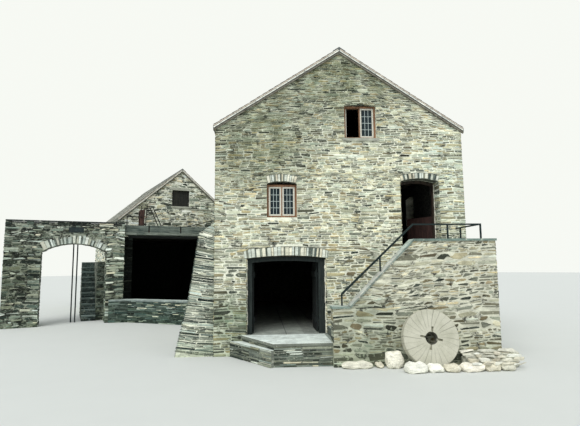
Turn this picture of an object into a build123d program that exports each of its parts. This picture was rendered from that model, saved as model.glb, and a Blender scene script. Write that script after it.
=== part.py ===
from build123d import *
import os
from math import asin, cos, degrees, hypot, radians, sin, tan

# Stone watermill: a three-storey mill with an outside stair, a launder on an
# arched aqueduct, and a lower gabled wing behind the wheel pit.
# Millimetres. Modelled with X = 0 at the facade's left corner, Y = 0 on the
# facade's outer face (the front looks along -Y) and Z = 0 on the ground, then
# moved so that the origin is under the middle of the whole group.

# Main mill
MILL_WIDTH = 6600.0
MILL_DEPTH = 10500.0
WALL = 550.0
EAVES_Z = 5830.0
APEX_Z = 7980.0
MIDDLE_COURSE_Z = 5200.0
CUT_OVER = 50.0

# Roof
SLATE = 90.0
EAVES_OVERHANG = 60.0
VERGE_OVERHANG = 80.0
VERGE_BOARD_DEPTH = 60.0
VERGE_BOARD_HEIGHT = 45.0
RIDGE_LEG = 170.0
RIDGE_TILE = 35.0
RIDGE_TILE_LENGTH = 455.0
TILE_JOINT = 8.0

# Floors
GROUND_FLOOR_Z = 510.0
FIRST_FLOOR_Z = 2550.0
FIRST_FLOOR = 160.0
ATTIC_FLOOR_Z = 4900.0
ATTIC_FLOOR = 140.0

# Arch rings
VOUSSOIR_PROUD = 6.0
VOUSSOIR_DEPTH = 250.0
VOUSSOIR_JOINT = 9.0
VOUSSOIR_JOINT_DEPTH = 16.0
RING_SEAT = 20.0

# Ground-floor doorway
DOORWAY_LEFT = 803.0
DOORWAY_WIDTH = 2053.0
DOORWAY_SPRING = 2412.0
DOORWAY_RISE = 68.0
DOORWAY_ARCH = 240.0
DOORWAY_ARCH_SEAT = 80.0
DOORWAY_VOUSSOIRS = 25

# Door frame and the two leaves
FRAME_SETBACK = 110.0
FRAME_DEPTH = 150.0
LEFT_POST = 147.0
RIGHT_POST = 192.0
HEAD_GAP = 22.0
HEAD_BEAM = 85.0
LEAF_THICK = 34.0
LEDGE_THICK = 28.0
LEDGE_HEIGHT = 150.0
LEAF_EDGE_GAP = 8.0
LEAF_FLOOR_GAP = 12.0
LEAF_HEAD_GAP = 14.0
LEAF_STAND = 5.0
PIN_RADIUS = 9.0
PIN_GAP = 0.4
KNUCKLE_WALL = 9.0
KNUCKLE_HEIGHT = 60.0
HINGE_INSET = 300.0
STRAP_LENGTH = 560.0
STRAP_HEIGHT = 45.0
STRAP_THICK = 7.0
LEDGE_INSET = 30.0
LATCH_HEIGHT = 1250.0
LATCH_LENGTH = 100.0
LATCH_INSET = 20.0
LATCH_SIZE = 30.0
PIN_CLEARANCE = 2.0
PIN_STAND = 15.0
PIN_PLATE = 24.0
PIN_PLATE_REACH = 45.0
PIN_LIFT = 0.5

# Upper doorway
UPPER_DOOR_PIER = 668.0
UPPER_DOOR_WIDTH = 1060.0
UPPER_DOOR_LEFT = MILL_WIDTH - UPPER_DOOR_PIER - UPPER_DOOR_WIDTH
UPPER_DOOR_SPRING = 4421.0
UPPER_DOOR_RISE = 82.0
UPPER_DOOR_ARCH = 165.0
UPPER_DOOR_VOUSSOIRS = 17
UPPER_FRAME_SETBACK = 330.0
UPPER_FRAME_DEPTH = 90.0
UPPER_FRAME_WIDTH = 70.0
HALF_LEAF_HEIGHT = 980.0
HALF_LEAF_THICK = 45.0
HALF_LEAF_ANGLE = 62.0
HALF_LEAF_SIDE_GAP = 10.0
HALF_LEAF_FLOOR_GAP = 6.0
HALF_LEAF_SEAT = 0.3

# Windows
WINDOW_LEFT = 1331.0
WINDOW_WIDTH = 785.0
WINDOW_SILL_Z = 3467.0
WINDOW_SPRING = 4360.0
WINDOW_RISE = 50.0
WINDOW_ARCH = 200.0
WINDOW_VOUSSOIRS = 13
GABLE_WINDOW_LEFT = MILL_WIDTH / 2 + 109.0
GABLE_WINDOW_WIDTH = 870.0
GABLE_WINDOW_SILL_Z = 5587.0
GABLE_WINDOW_SPRING = 6500.0
WINDOW_SETBACK = 95.0
FRAME_BAR = 52.0
FRAME_BAR_DEPTH = 85.0
CASEMENT_BAR = 42.0
CASEMENT_DEPTH = 42.0
CASEMENT_SETBACK = 14.0
GLASS = 6.0
OPEN_CASEMENT_ANGLE = 98.0
SILL_HEIGHT = 75.0
SILL_PROJECTION = 45.0
SILL_EAR = 60.0
SIDE_WINDOW_PLACES = (2350.0, MILL_DEPTH - 3400.0)
BACK_WINDOW_LEFT = 2900.0

# Platform in front of the doorway
PLATFORM_FRONT = 1298.0
PLATFORM_CORNER_X = 1460.0
PLATFORM_BACK_X = 700.0
PLATFORM_FLAG = 60.0
PLATFORM_NOSING = 25.0
STEP_Z = 370.0
STEP_BACK_GOING = 300.0
STEP_CORNER_GOING = 90.0

# Outside stair along the facade
STAIR_LENGTH = 3830.0
STAIR_LEFT = MILL_WIDTH - STAIR_LENGTH
STAIR_DEPTH = 1450.0
PARAPET = 300.0
PARAPET_FOOT_Z = 1320.0
PARAPET_FOOT_END = STAIR_LEFT + 381.0
PARAPET_SLOPE_END = STAIR_LEFT + 1888.0
PARAPET_TOP_Z = 2820.0
FIRST_RISER_X = STAIR_LEFT + 80.0
RISERS = 10
TREAD_GOING = 219.0
COPING = 50.0
COPING_NOSING = 28.0
COPING_JOINT = 6.0
LEVEL_COPING_SLABS = 3
SLOPE_COPING_SLABS = 3

# Handrail
RAIL_SIZE = 34.0
RAIL_INSET = 150.0
RAIL_RIGHT_INSET = 260.0
RAIL_FOOT_X = STAIR_LEFT + 228.0
RAIL_FOOT_HEIGHT = 262.0
RAIL_BEND_X = STAIR_LEFT + 1936.0
RAIL_LEVEL_HEIGHT = 345.0
RAIL_POSTS_X = (STAIR_LEFT + 1135.0, STAIR_LEFT + 2770.0)
RAIL_RETURN_POST_Y = 250.0

# Millstone leaning on the stair
MILLSTONE_RADIUS = 620.0
MILLSTONE_THICK = 205.0
MILLSTONE_X = STAIR_LEFT + 2090.0
MILLSTONE_LEAN = 13.0
MILLSTONE_EYE = 136.0
MILLSTONE_CUT_LENGTH = 115.0
MILLSTONE_CUT_WIDTH = 46.0
MILLSTONE_CUT_DEPTH = 70.0
MILLSTONE_CUT_TURN = 12.0
MILLSTONE_ARRIS = 14.0
STONE_SEAT_GAP = 0.3

# Rough footing stones along the stair: left and right end from the stair's left
# end, distance in front of the stair, depth and height
WALL_FOOTING = (
    (120.0, 840.0, 0.0, 230.0, 150.0), (870.0, 1090.0, 0.0, 210.0, 120.0),
    (1120.0, 1500.0, 0.0, 300.0, 350.0),
)
FRONT_FOOTING = (
    (1370.0, 1850.0, 20.0, 250.0, 215.0), (1850.0, 2210.0, 0.0, 230.0, 165.0),
    (2210.0, 2570.0, 10.0, 240.0, 160.0), (2570.0, 3080.0, 0.0, 270.0, 175.0),
    (3080.0, 3430.0, 10.0, 240.0, 190.0), (3430.0, 3760.0, 0.0, 250.0, 165.0),
)
FOOTING_CLEARANCE = 12.0
TOE_START = 2790.0
TOE_HEIGHT = 330.0
TOE_FRONT_HEIGHT = 130.0
TOE_PAST_CORNER = 250.0

# Buttress at the facade's left corner
BUTTRESS_FACE = 60.0
BUTTRESS_DEPTH = 1440.0
BUTTRESS_BASE = 960.0
BUTTRESS_MID = (640.0, 1380.0)
BUTTRESS_SHOULDER = (390.0, 3080.0)
BUTTRESS_TOP_Z = 3340.0

# Aqueduct, launder and wing share one line, turned from the facade
LINE_ANGLE = 22.0
LINE_START = (-4380.0, MILL_DEPTH - 3170.0)
AQUEDUCT_LENGTH = 4190.0
AQUEDUCT_THICK = 900.0
AQUEDUCT_BED_Z = 3530.0
AQUEDUCT_CHEEK = 120.0
AQUEDUCT_TOP_Z = 3960.0
AQUEDUCT_COPING = 50.0
AQUEDUCT_ARCH_RIGHT = 660.0
AQUEDUCT_ARCH_WIDTH = 2330.0
AQUEDUCT_SPRING = 2800.0
AQUEDUCT_RISE = 330.0
AQUEDUCT_ARCH = 340.0
AQUEDUCT_ARCH_SEAT = 60.0
AQUEDUCT_JOINT = 14.0
AQUEDUCT_VOUSSOIRS = 19
SLOT_HEIGHT = 95.0
SLOTS = ((3990.0, 480.0), (3270.0, 260.0), (2760.0, 300.0), (1290.0, 320.0), (440.0, 330.0))

# Launder
LAUNDER_TOP_Z = 3920.0
LAUNDER_BOARD = 50.0
LAUNDER_FLOOR = 60.0
LAUNDER_LAP = 300.0
STRAP_PLACES = (950.0, 2285.0)
LAUNDER_STRAP = 60.0
LAUNDER_STRAP_THICK = 8.0
SPOUT_PLACE = 640.0
SPOUT_TOP_WIDTH = 330.0
SPOUT_BOTTOM_WIDTH = 210.0
SPOUT_DEPTH = 120.0
SPOUT_HEIGHT = 110.0

# Sluice over the launder
SLUICE_LEFT = 620.0
SLUICE_POST = 165.0
SLUICE_POST_DEPTH = 70.0
SLUICE_TOP_Z = 4540.0
SLUICE_HEAD = 60.0
GATE_THICK = 38.0
GATE_HEIGHT = 700.0
GATE_RAISED = 150.0
GATE_SIDE_GAP = 6.0
GATE_SLOT = 50.0
GATE_SLOT_DEPTH = 35.0
GATE_GUIDE_GAP = 0.4
GATE_STEM = 30.0
GATE_STEM_HEIGHT = 330.0
GATE_GRIP = 260.0
HOIST_LEFT = 830.0
HOIST_RIGHT = 1480.0
HOIST_TOP_Z = 4750.0
HOIST_TOP_LEFT = 880.0
HOIST_TOP_RIGHT = 1110.0
HOIST_BAR = 34.0
STAY_LEFT = 90.0
STAY_Z = 4290.0
ROD_START = 2740.0
ROD_Z = 3950.0
ROD_ANGLE = 16.7
ROD_SIZE = 38.0
ROD_BACK = 360.0
ROD_LENGTH = 3600.0
ROD_BEARER_DEPTH = 120.0

# Low wall round the wheel pit
PIT_LEFT = (-4840.0, MILL_DEPTH - 3450.0)
PIT_CORNER = (-4110.0, MILL_DEPTH - 3380.0)
PIT_MILL_Y = MILL_DEPTH - 5340.0
PIT_WALL = 400.0
PIT_WALL_Z = 835.0
PIT_COPING = 60.0
PIT_COPING_NOSING = 30.0

# Wing, measured in the turned line: along it, and back from it
WING_LEFT = -100.0
WING_WIDTH = 5260.0
WING_FRONT = 1070.0
WING_DEPTH = 8000.0
WING_SKEW = 4.0
WING_WALL = 500.0
WING_EAVES_Z = 4270.0
WING_APEX_Z = 6570.0
WING_SLATE = 95.0
WING_OVERHANG = 100.0
WING_OPENING_LEFT = 450.0
WING_OPENING_RIGHT = 4560.0
WING_BEAM_Z = 3450.0
WING_BEAM = 300.0
WING_BEAM_SEAT = 200.0
LOFT_FLOOR = 140.0
SHUTTER_LEFT = 2110.0
SHUTTER_WIDTH = 790.0
SHUTTER_SILL_Z = 4930.0
SHUTTER_HEIGHT = 750.0
SHUTTER_SETBACK = 90.0
SHUTTER_THICK = 45.0
LINTEL_HEIGHT = 120.0
LINTEL_SEAT = 110.0
LINTEL_PROUD = 4.0
DRIP_Z = 4800.0
DRIP_HEIGHT = 45.0
DRIP_SEAT = 80.0

# Steps behind the aqueduct arch
REAR_STEPS_LEFT = -1480.0
REAR_STEPS_WIDTH = 540.0
REAR_STEPS_START = 1000.0
REAR_STEP_COUNT = 11
REAR_STEP_RISE = 220.0
REAR_STEP_GOING = 250.0
REAR_TREAD = 50.0
REAR_NOSING = 25.0
REAR_POSTS = (-1740.0, -1890.0)
REAR_POST_SIZE = 50.0
REAR_POST_Z = 3450.0

ROOF_SLOPE = (APEX_Z - EAVES_Z) / (MILL_WIDTH / 2)
WING_SLOPE = (WING_APEX_Z - WING_EAVES_Z) / (WING_WIDTH / 2)

DOORWAY = (DOORWAY_LEFT, DOORWAY_LEFT + DOORWAY_WIDTH, DOORWAY_SPRING, DOORWAY_RISE)
UPPER_DOORWAY = (
    UPPER_DOOR_LEFT, UPPER_DOOR_LEFT + UPPER_DOOR_WIDTH, UPPER_DOOR_SPRING, UPPER_DOOR_RISE
)

LINE = Location((LINE_START[0], LINE_START[1], 0), (0, 0, LINE_ANGLE))
RIGHT_SIDE = Location((MILL_WIDTH, 0, 0), (0, 0, 90))
BACK_SIDE = Location((MILL_WIDTH, MILL_DEPTH, 0), (0, 0, 180))

pieces = {}


# Shapes used throughout
def block(x0, x1, y0, y1, z0, z1):
    centre = Pos((x0 + x1) / 2, (y0 + y1) / 2, (z0 + z1) / 2)
    return centre * Box(x1 - x0, y1 - y0, z1 - z0)


def upright(points, y0, y1):
    """Outline in X and Z, carried back from y0 to y1."""
    plane = Plane(origin=(0, y0, 0), x_dir=(1, 0, 0), z_dir=(0, -1, 0))
    face = plane * make_face(Polyline(*points, close=True))
    return extrude(face, amount=y1 - y0, dir=(0, 1, 0))


def plan(points, z0, z1):
    """Outline in X and Y, carried up from z0 to z1."""
    face = Plane(origin=(0, 0, z0)) * make_face(Polyline(*points, close=True))
    return extrude(face, amount=z1 - z0, dir=(0, 0, 1))


def leaning(points, y0, y1):
    """Outline in X and Z, carried back from y0 to y1 along the wing's skewed sides."""
    turn = radians(WING_SKEW)
    start = (-(y0 - WING_FRONT) * tan(turn), y0, 0)
    plane = Plane(origin=start, x_dir=(1, 0, 0), z_dir=(0, -1, 0))
    face = plane * make_face(Polyline(*points, close=True))
    return extrude(face, amount=(y1 - y0) / cos(turn), dir=(-sin(turn), cos(turn), 0))


def arched(left, right, foot, spring, rise, y0, y1):
    """Solid of an opening with a segmental head, to cut a wall with."""
    plane = Plane(origin=(0, y0, 0), x_dir=(1, 0, 0), z_dir=(0, -1, 0))
    head = ThreePointArc((left, spring), ((left + right) / 2, spring + rise), (right, spring))
    sides = Polyline((left, spring), (left, foot), (right, foot), (right, spring))
    return extrude(plane * make_face([head, *sides.edges()]), amount=y1 - y0, dir=(0, 1, 0))


def arch_band(left, right, spring, rise, height, seat, y0, y1):
    """Band of an arch ring between two radii, with radial ends."""
    half = (right - left) / 2
    radius = (half * half + rise * rise) / (2 * rise)
    middle = (left + right) / 2
    centre_z = spring + rise - radius
    reach = asin((half + seat) / (radius + height))

    def at(r, angle):
        return (middle + r * sin(angle), centre_z + r * cos(angle))

    inner = ThreePointArc(at(radius, -reach), at(radius, 0), at(radius, reach))
    outer = ThreePointArc(
        at(radius + height, -reach), at(radius + height, 0), at(radius + height, reach)
    )
    ends = [
        Line(at(radius, -reach), at(radius + height, -reach)),
        Line(at(radius, reach), at(radius + height, reach)),
    ]
    plane = Plane(origin=(0, y0, 0), x_dir=(1, 0, 0), z_dir=(0, -1, 0))
    return extrude(plane * make_face([inner, outer, *ends]), amount=y1 - y0, dir=(0, 1, 0))


def voussoirs(left, right, spring, rise, height, seat, count, joint=VOUSSOIR_JOINT):
    """Arch ring of upright stones: the band with a raked-out joint between each pair."""
    band = arch_band(left, right, spring, rise, height, seat, -VOUSSOIR_PROUD, VOUSSOIR_DEPTH)
    half = (right - left) / 2
    radius = (half * half + rise * rise) / (2 * rise)
    reach = asin((half + seat) / (radius + height))
    middle_z = radius + height / 2
    pivot = Pos((left + right) / 2, 0, spring + rise - radius)
    joint_y = (VOUSSOIR_JOINT_DEPTH - VOUSSOIR_PROUD) / 2
    cutter = Box(joint, VOUSSOIR_JOINT_DEPTH + VOUSSOIR_PROUD, height * 1.2)
    cuts = []
    for i in range(1, count):
        angle = degrees((2 * i / count - 1) * reach)
        cuts.append(pivot * Rot(0, angle, 0) * Pos(0, joint_y, middle_z) * cutter)
    return band - cuts


def bar(start, end, size):
    """Square bar between two points, its ends cut square."""
    a, b = Vector(*start), Vector(*end)
    return extrude(Plane(origin=a, z_dir=b - a) * Rectangle(size, size), amount=(b - a).length)


def joined(*solids):
    """One solid from pieces that overlap or share a face."""
    whole = solids[0]
    for solid in solids[1:]:
        whole = whole + solid
    return whole


def add(node, *solids, place=None):
    """Keep solids under a node's name, set in their place."""
    placed = [solid if place is None else place * solid for solid in solids]
    pieces.setdefault(node, []).extend(placed)


# Windows and their wall openings, in the coordinates of a wall that faces -Y
def window_hole(left, width, sill, spring, rise):
    return arched(left, left + width, sill, spring, rise, -CUT_OVER, WALL + CUT_OVER)


def window_frame(left, width, sill, top):
    """Outer frame with a mullion."""
    y0, y1 = WINDOW_SETBACK, WINDOW_SETBACK + FRAME_BAR_DEPTH
    right = left + width
    outer = block(left, right, y0, y1, sill, top)
    middle = (left + right) / 2
    lights = [
        block(a, b, y0 - 1, y1 + 1, sill + FRAME_BAR, top - FRAME_BAR)
        for a, b in (
            (left + FRAME_BAR, middle - FRAME_BAR / 4), (middle + FRAME_BAR / 4, right - FRAME_BAR)
        )
    ]
    return outer - lights


def casement(width, height):
    """One casement and its glass, with its hinge side at X = 0 and its foot at Z = 0."""
    outer = block(0, width, 0, CASEMENT_DEPTH, 0, height)
    sight = block(
        CASEMENT_BAR, width - CASEMENT_BAR, -1, CASEMENT_DEPTH + 1, CASEMENT_BAR, height - CASEMENT_BAR
    )
    middle = CASEMENT_DEPTH / 2
    glass = block(
        CASEMENT_BAR, width - CASEMENT_BAR, middle - GLASS / 2, middle + GLASS / 2,
        CASEMENT_BAR, height - CASEMENT_BAR,
    )
    return outer - sight, glass


def window(left, width, sill, top, place=None, open_left=False):
    """Frame, two casements and their glass, the left one swung inward if it is open."""
    add("window_frames", window_frame(left, width, sill, top), place=place)
    middle = left + width / 2
    light = width / 2 - FRAME_BAR - FRAME_BAR / 4
    height = top - sill - 2 * FRAME_BAR
    y0 = WINDOW_SETBACK + CASEMENT_SETBACK
    for x0, swung in ((left + FRAME_BAR, open_left), (middle + FRAME_BAR / 4, False)):
        sash, glass = casement(light, height)
        seat = Pos(x0, y0, sill + FRAME_BAR)
        if swung:
            back = WINDOW_SETBACK + FRAME_BAR_DEPTH
            seat = Pos(x0, back + 1, sill + FRAME_BAR) * Rot(0, 0, OPEN_CASEMENT_ANGLE)
            seat = seat * Pos(0, -CASEMENT_DEPTH, 0)
        for node, solid in (("casements", sash), ("window_glass", glass)):
            local = seat * solid
            add(node, local if place is None else place * local)


def make_openings():
    """Windows and arch rings of the four mill walls; returns what cuts the walls."""
    front_ring = (WINDOW_LEFT, WINDOW_LEFT + WINDOW_WIDTH, WINDOW_SPRING, WINDOW_RISE)
    ring_size = (WINDOW_ARCH, RING_SEAT)
    ring_depth = (-VOUSSOIR_PROUD, VOUSSOIR_DEPTH)
    cuts = {"front": [], "right": [], "back": []}
    cuts["front"] += [
        arched(*DOORWAY[:2], -CUT_OVER, *DOORWAY[2:], -CUT_OVER, WALL + CUT_OVER),
        arched(
            *UPPER_DOORWAY[:2], FIRST_FLOOR_Z, *UPPER_DOORWAY[2:], -CUT_OVER, WALL + CUT_OVER
        ),
        window_hole(WINDOW_LEFT, WINDOW_WIDTH, WINDOW_SILL_Z, WINDOW_SPRING, WINDOW_RISE),
        window_hole(
            GABLE_WINDOW_LEFT, GABLE_WINDOW_WIDTH, GABLE_WINDOW_SILL_Z, GABLE_WINDOW_SPRING,
            WINDOW_RISE,
        ),
        arch_band(*DOORWAY, DOORWAY_ARCH, DOORWAY_ARCH_SEAT, *ring_depth),
        arch_band(*UPPER_DOORWAY, UPPER_DOOR_ARCH, RING_SEAT, *ring_depth),
        arch_band(*front_ring, *ring_size, *ring_depth),
        sill_stone(GABLE_WINDOW_LEFT, GABLE_WINDOW_WIDTH, GABLE_WINDOW_SILL_Z),
    ]
    add("doorway_arch", voussoirs(*DOORWAY, DOORWAY_ARCH, DOORWAY_ARCH_SEAT, DOORWAY_VOUSSOIRS))
    add(
        "upper_door_arch",
        voussoirs(*UPPER_DOORWAY, UPPER_DOOR_ARCH, RING_SEAT, UPPER_DOOR_VOUSSOIRS),
    )
    add("window_arches", voussoirs(*front_ring, *ring_size, WINDOW_VOUSSOIRS))
    add("sills_and_lintel", sill_stone(GABLE_WINDOW_LEFT, GABLE_WINDOW_WIDTH, GABLE_WINDOW_SILL_Z))
    window(WINDOW_LEFT, WINDOW_WIDTH, WINDOW_SILL_Z, WINDOW_SPRING - HEAD_GAP)
    window(
        GABLE_WINDOW_LEFT, GABLE_WINDOW_WIDTH, GABLE_WINDOW_SILL_Z, GABLE_WINDOW_SPRING,
        open_left=True,
    )
    plain = [("right", RIGHT_SIDE, left) for left in SIDE_WINDOW_PLACES]
    plain.append(("back", BACK_SIDE, BACK_WINDOW_LEFT))
    for side, place, left in plain:
        ring = (left, left + WINDOW_WIDTH, WINDOW_SPRING, WINDOW_RISE)
        hole = window_hole(left, WINDOW_WIDTH, WINDOW_SILL_Z, WINDOW_SPRING, WINDOW_RISE)
        cuts[side] += [place * hole, place * arch_band(*ring, *ring_size, *ring_depth)]
        add("window_arches", voussoirs(*ring, *ring_size, WINDOW_VOUSSOIRS), place=place)
        window(left, WINDOW_WIDTH, WINDOW_SILL_Z, WINDOW_SPRING - HEAD_GAP, place=place)
    return cuts


def sill_stone(left, width, top):
    return block(
        left - SILL_EAR, left + width + SILL_EAR, -SILL_PROJECTION, WINDOW_SETBACK,
        top - SILL_HEIGHT, top,
    )


# Mill walls
def make_walls(cuts):
    inner_eaves = EAVES_Z + WALL * ROOF_SLOPE
    end = MILL_DEPTH - WALL
    width, wall = MILL_WIDTH, WALL
    middle_left, middle_right = UPPER_DOORWAY[:2]
    gable_line = [
        (0, MIDDLE_COURSE_Z), (width, MIDDLE_COURSE_Z), (width, EAVES_Z),
        (width / 2, APEX_Z), (0, EAVES_Z),
    ]
    front = {
        "front_wall_left": block(0, DOORWAY[0], 0, wall, 0, DOORWAY_SPRING),
        "front_wall_right": joined(
            block(DOORWAY[1], width, 0, wall, 0, DOORWAY_SPRING),
            block(middle_left, width, 0, wall, DOORWAY_SPRING, FIRST_FLOOR_Z),
        ),
        "front_wall_middle": block(0, middle_left, 0, wall, DOORWAY_SPRING, MIDDLE_COURSE_Z),
        "front_wall_over_door": joined(
            block(middle_right, width, 0, wall, FIRST_FLOOR_Z, MIDDLE_COURSE_Z),
            block(middle_left, width, 0, wall, UPPER_DOOR_SPRING, MIDDLE_COURSE_Z),
        ),
        "front_gable": upright(gable_line, 0, wall),
    }
    for node, solid in front.items():
        add(node, solid - cuts["front"])
    left_line = [(0, 0), (wall, 0), (wall, inner_eaves), (0, EAVES_Z)]
    add("left_wall", upright(left_line, wall, end))
    right_line = [(width - x, z) for x, z in left_line]
    add("right_wall", upright(right_line, wall, end) - cuts["right"])
    back_line = [(0, 0), (width, 0), (width, EAVES_Z), (width / 2, APEX_Z), (0, EAVES_Z)]
    add("back_wall", upright(back_line, end, MILL_DEPTH) - cuts["back"])


# Floors
def make_floors():
    near, far, end = WALL, MILL_WIDTH - WALL, MILL_DEPTH - WALL
    inside = block(near, far, near, end, 0, GROUND_FLOOR_Z)
    threshold = block(DOORWAY[0], DOORWAY[1], 0, near, 0, GROUND_FLOOR_Z)
    add("ground_floor", joined(inside, threshold))
    add("first_floor", block(near, far, near, end, FIRST_FLOOR_Z - FIRST_FLOOR, FIRST_FLOOR_Z))
    add("attic_floor", block(near, far, near, end, ATTIC_FLOOR_Z - ATTIC_FLOOR, ATTIC_FLOOR_Z))


# Roofs
def slope_line(left, width, eaves, apex, overhang, low, high):
    """Outline of the left-hand slope between two heights above the wall tops."""
    slope = (apex - eaves) / (width / 2)
    foot = eaves - overhang * slope
    return [
        (left - overhang, foot + low), (left + width / 2, apex + low),
        (left + width / 2, apex + high), (left - overhang, foot + high),
    ]


def mirrored(points, axis):
    return [(2 * axis - x, z) for x, z in points]


def ridge_line(axis, apex, slope, thick, leg):
    """Outline of a ridge tile astride the two slopes."""
    return [
        (axis - leg, apex - leg * slope), (axis, apex), (axis + leg, apex - leg * slope),
        (axis + leg, apex - leg * slope + thick), (axis, apex + thick),
        (axis - leg, apex - leg * slope + thick),
    ]


def ridge_run(node, axis, apex, slope, y0, y1, carry=upright, place=None):
    count = round((y1 - y0) / RIDGE_TILE_LENGTH)
    pitch = (y1 - y0 + TILE_JOINT) / count
    line = ridge_line(axis, apex, slope, RIDGE_TILE, RIDGE_LEG)
    for i in range(count):
        start = y0 + i * pitch
        add(node, carry(line, start, start + pitch - TILE_JOINT), place=place)


def verge_board(left, width, eaves, apex, overhang, y0, y1, carry=upright):
    """Board that follows both slopes of a gable, under the slates."""
    foot, top, crown, tip = slope_line(left, width, eaves, apex, overhang, -VERGE_BOARD_HEIGHT, 0)
    right_foot, right_tip = mirrored([foot, tip], left + width / 2)
    return carry([foot, top, right_foot, right_tip, crown, tip], y0, y1)


def make_roofs():
    axis = MILL_WIDTH / 2
    y0, y1 = -VERGE_OVERHANG, MILL_DEPTH + VERGE_OVERHANG
    line = slope_line(0, MILL_WIDTH, EAVES_Z, APEX_Z, EAVES_OVERHANG, 0, SLATE)
    add("roof_left", upright(line, y0, y1))
    add("roof_right", upright(mirrored(line, axis), y0, y1))
    ridge_run("ridge_tiles", axis, APEX_Z + SLATE, ROOF_SLOPE, y0, y1)
    board = (0, MILL_WIDTH, EAVES_Z, APEX_Z, EAVES_OVERHANG)
    add("verges", verge_board(*board, -VERGE_BOARD_DEPTH, 0))
    add("verges", verge_board(*board, MILL_DEPTH, MILL_DEPTH + VERGE_BOARD_DEPTH))


# Ground-floor doorway: frame, hinge pins and two leaves
FRAME_BACK = FRAME_SETBACK + FRAME_DEPTH
LEAF_BACK_Y = FRAME_BACK + LEAF_STAND
PIN_Y = LEAF_BACK_Y + PIN_RADIUS + PIN_GAP + KNUCKLE_WALL
CLEAR_LEFT = DOORWAY_LEFT + LEFT_POST
CLEAR_RIGHT = DOORWAY_LEFT + DOORWAY_WIDTH - RIGHT_POST
PIN_OUT = PIN_RADIUS + PIN_CLEARANCE
HEAD_SOFFIT = DOORWAY_SPRING - HEAD_GAP - HEAD_BEAM
LEAF_FOOT_Z = GROUND_FLOOR_Z + LEAF_FLOOR_GAP
LEAF_TOP_Z = HEAD_SOFFIT - LEAF_HEAD_GAP
LEFT_PIN = (CLEAR_LEFT - PIN_OUT, PIN_Y)
RIGHT_PIN = (CLEAR_RIGHT + PIN_OUT, PIN_Y)
HINGE_HEIGHTS = (LEAF_FOOT_Z + HINGE_INSET, LEAF_TOP_Z - HINGE_INSET)
LEAF_WIDTH = (CLEAR_RIGHT - CLEAR_LEFT) / 2 - 1.5 * LEAF_EDGE_GAP


def closed_leaf(sign):
    """Leaf in its closed place, measured from its hinge pin towards the doorway's middle."""
    start = PIN_OUT + LEAF_EDGE_GAP
    y_back = LEAF_BACK_Y - PIN_Y
    y_face = y_back - LEAF_THICK
    z0, z1 = LEAF_FOOT_Z, LEAF_TOP_Z

    def span(x0, x1, y0, y1, low, high):
        a, b = sorted((sign * x0, sign * x1))
        return block(a, b, y0, y1, low, high)

    leaf = span(start, start + LEAF_WIDTH, y_face, y_back, z0, z1)
    ring = KNUCKLE_WALL + PIN_GAP + PIN_RADIUS
    for height in HINGE_HEIGHTS:
        ledge = span(
            start + LEDGE_INSET, start + LEAF_WIDTH - LEDGE_INSET, y_face - LEDGE_THICK, y_face,
            height - LEDGE_HEIGHT / 2, height + LEDGE_HEIGHT / 2,
        )
        strap = span(
            0, start + STRAP_LENGTH, y_back, y_back + STRAP_THICK,
            height - STRAP_HEIGHT / 2, height + STRAP_HEIGHT / 2,
        )
        knuckle = Pos(0, 0, height) * Cylinder(ring, KNUCKLE_HEIGHT)
        leaf = joined(leaf, ledge, strap, knuckle)
    bore = Pos(0, 0, (z0 + z1) / 2) * Cylinder(PIN_RADIUS + PIN_GAP, z1 - z0)
    latch_end = start + LEAF_WIDTH - LATCH_INSET
    latch = span(
        latch_end - LATCH_LENGTH, latch_end, y_back, y_back + LATCH_SIZE,
        LATCH_HEIGHT, LATCH_HEIGHT + LATCH_SIZE,
    )
    return joined(leaf, latch) - bore


def make_doorway():
    left, right, spring, rise = DOORWAY
    y0, y1 = FRAME_SETBACK, FRAME_BACK
    whole = arched(left, right, GROUND_FLOOR_Z, spring - HEAD_GAP, rise, y0, y1)
    clear = arched(
        CLEAR_LEFT, CLEAR_RIGHT, GROUND_FLOOR_Z - 1, HEAD_SOFFIT, rise * 0.7, y0 - 1, y1 + 1
    )
    add("door_frame", whole - clear)
    for x, y in (LEFT_PIN, RIGHT_PIN):
        side = -1 if x < (left + right) / 2 else 1
        for height in HINGE_HEIGHTS:
            low = height - KNUCKLE_HEIGHT / 2 - PIN_LIFT
            pin = Cylinder(PIN_RADIUS, KNUCKLE_HEIGHT + 2 * PIN_STAND)
            pin = Pos(x, y, low + KNUCKLE_HEIGHT / 2) * pin
            a, b = sorted((x - side * PIN_RADIUS, x + side * PIN_PLATE_REACH))
            plate = block(a, b, FRAME_BACK, y + PIN_RADIUS, low - PIN_PLATE, low)
            add("door_hinge_pins", joined(pin, plate))
    left_open = Pos(LEFT_PIN[0], LEFT_PIN[1], 0) * Rot(0, 0, 90)
    right_open = Pos(RIGHT_PIN[0], RIGHT_PIN[1], 0) * Rot(0, 0, -90)
    add("front_door_left", closed_leaf(1), place=left_open)
    add("front_door_right", closed_leaf(-1), place=right_open)


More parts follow.
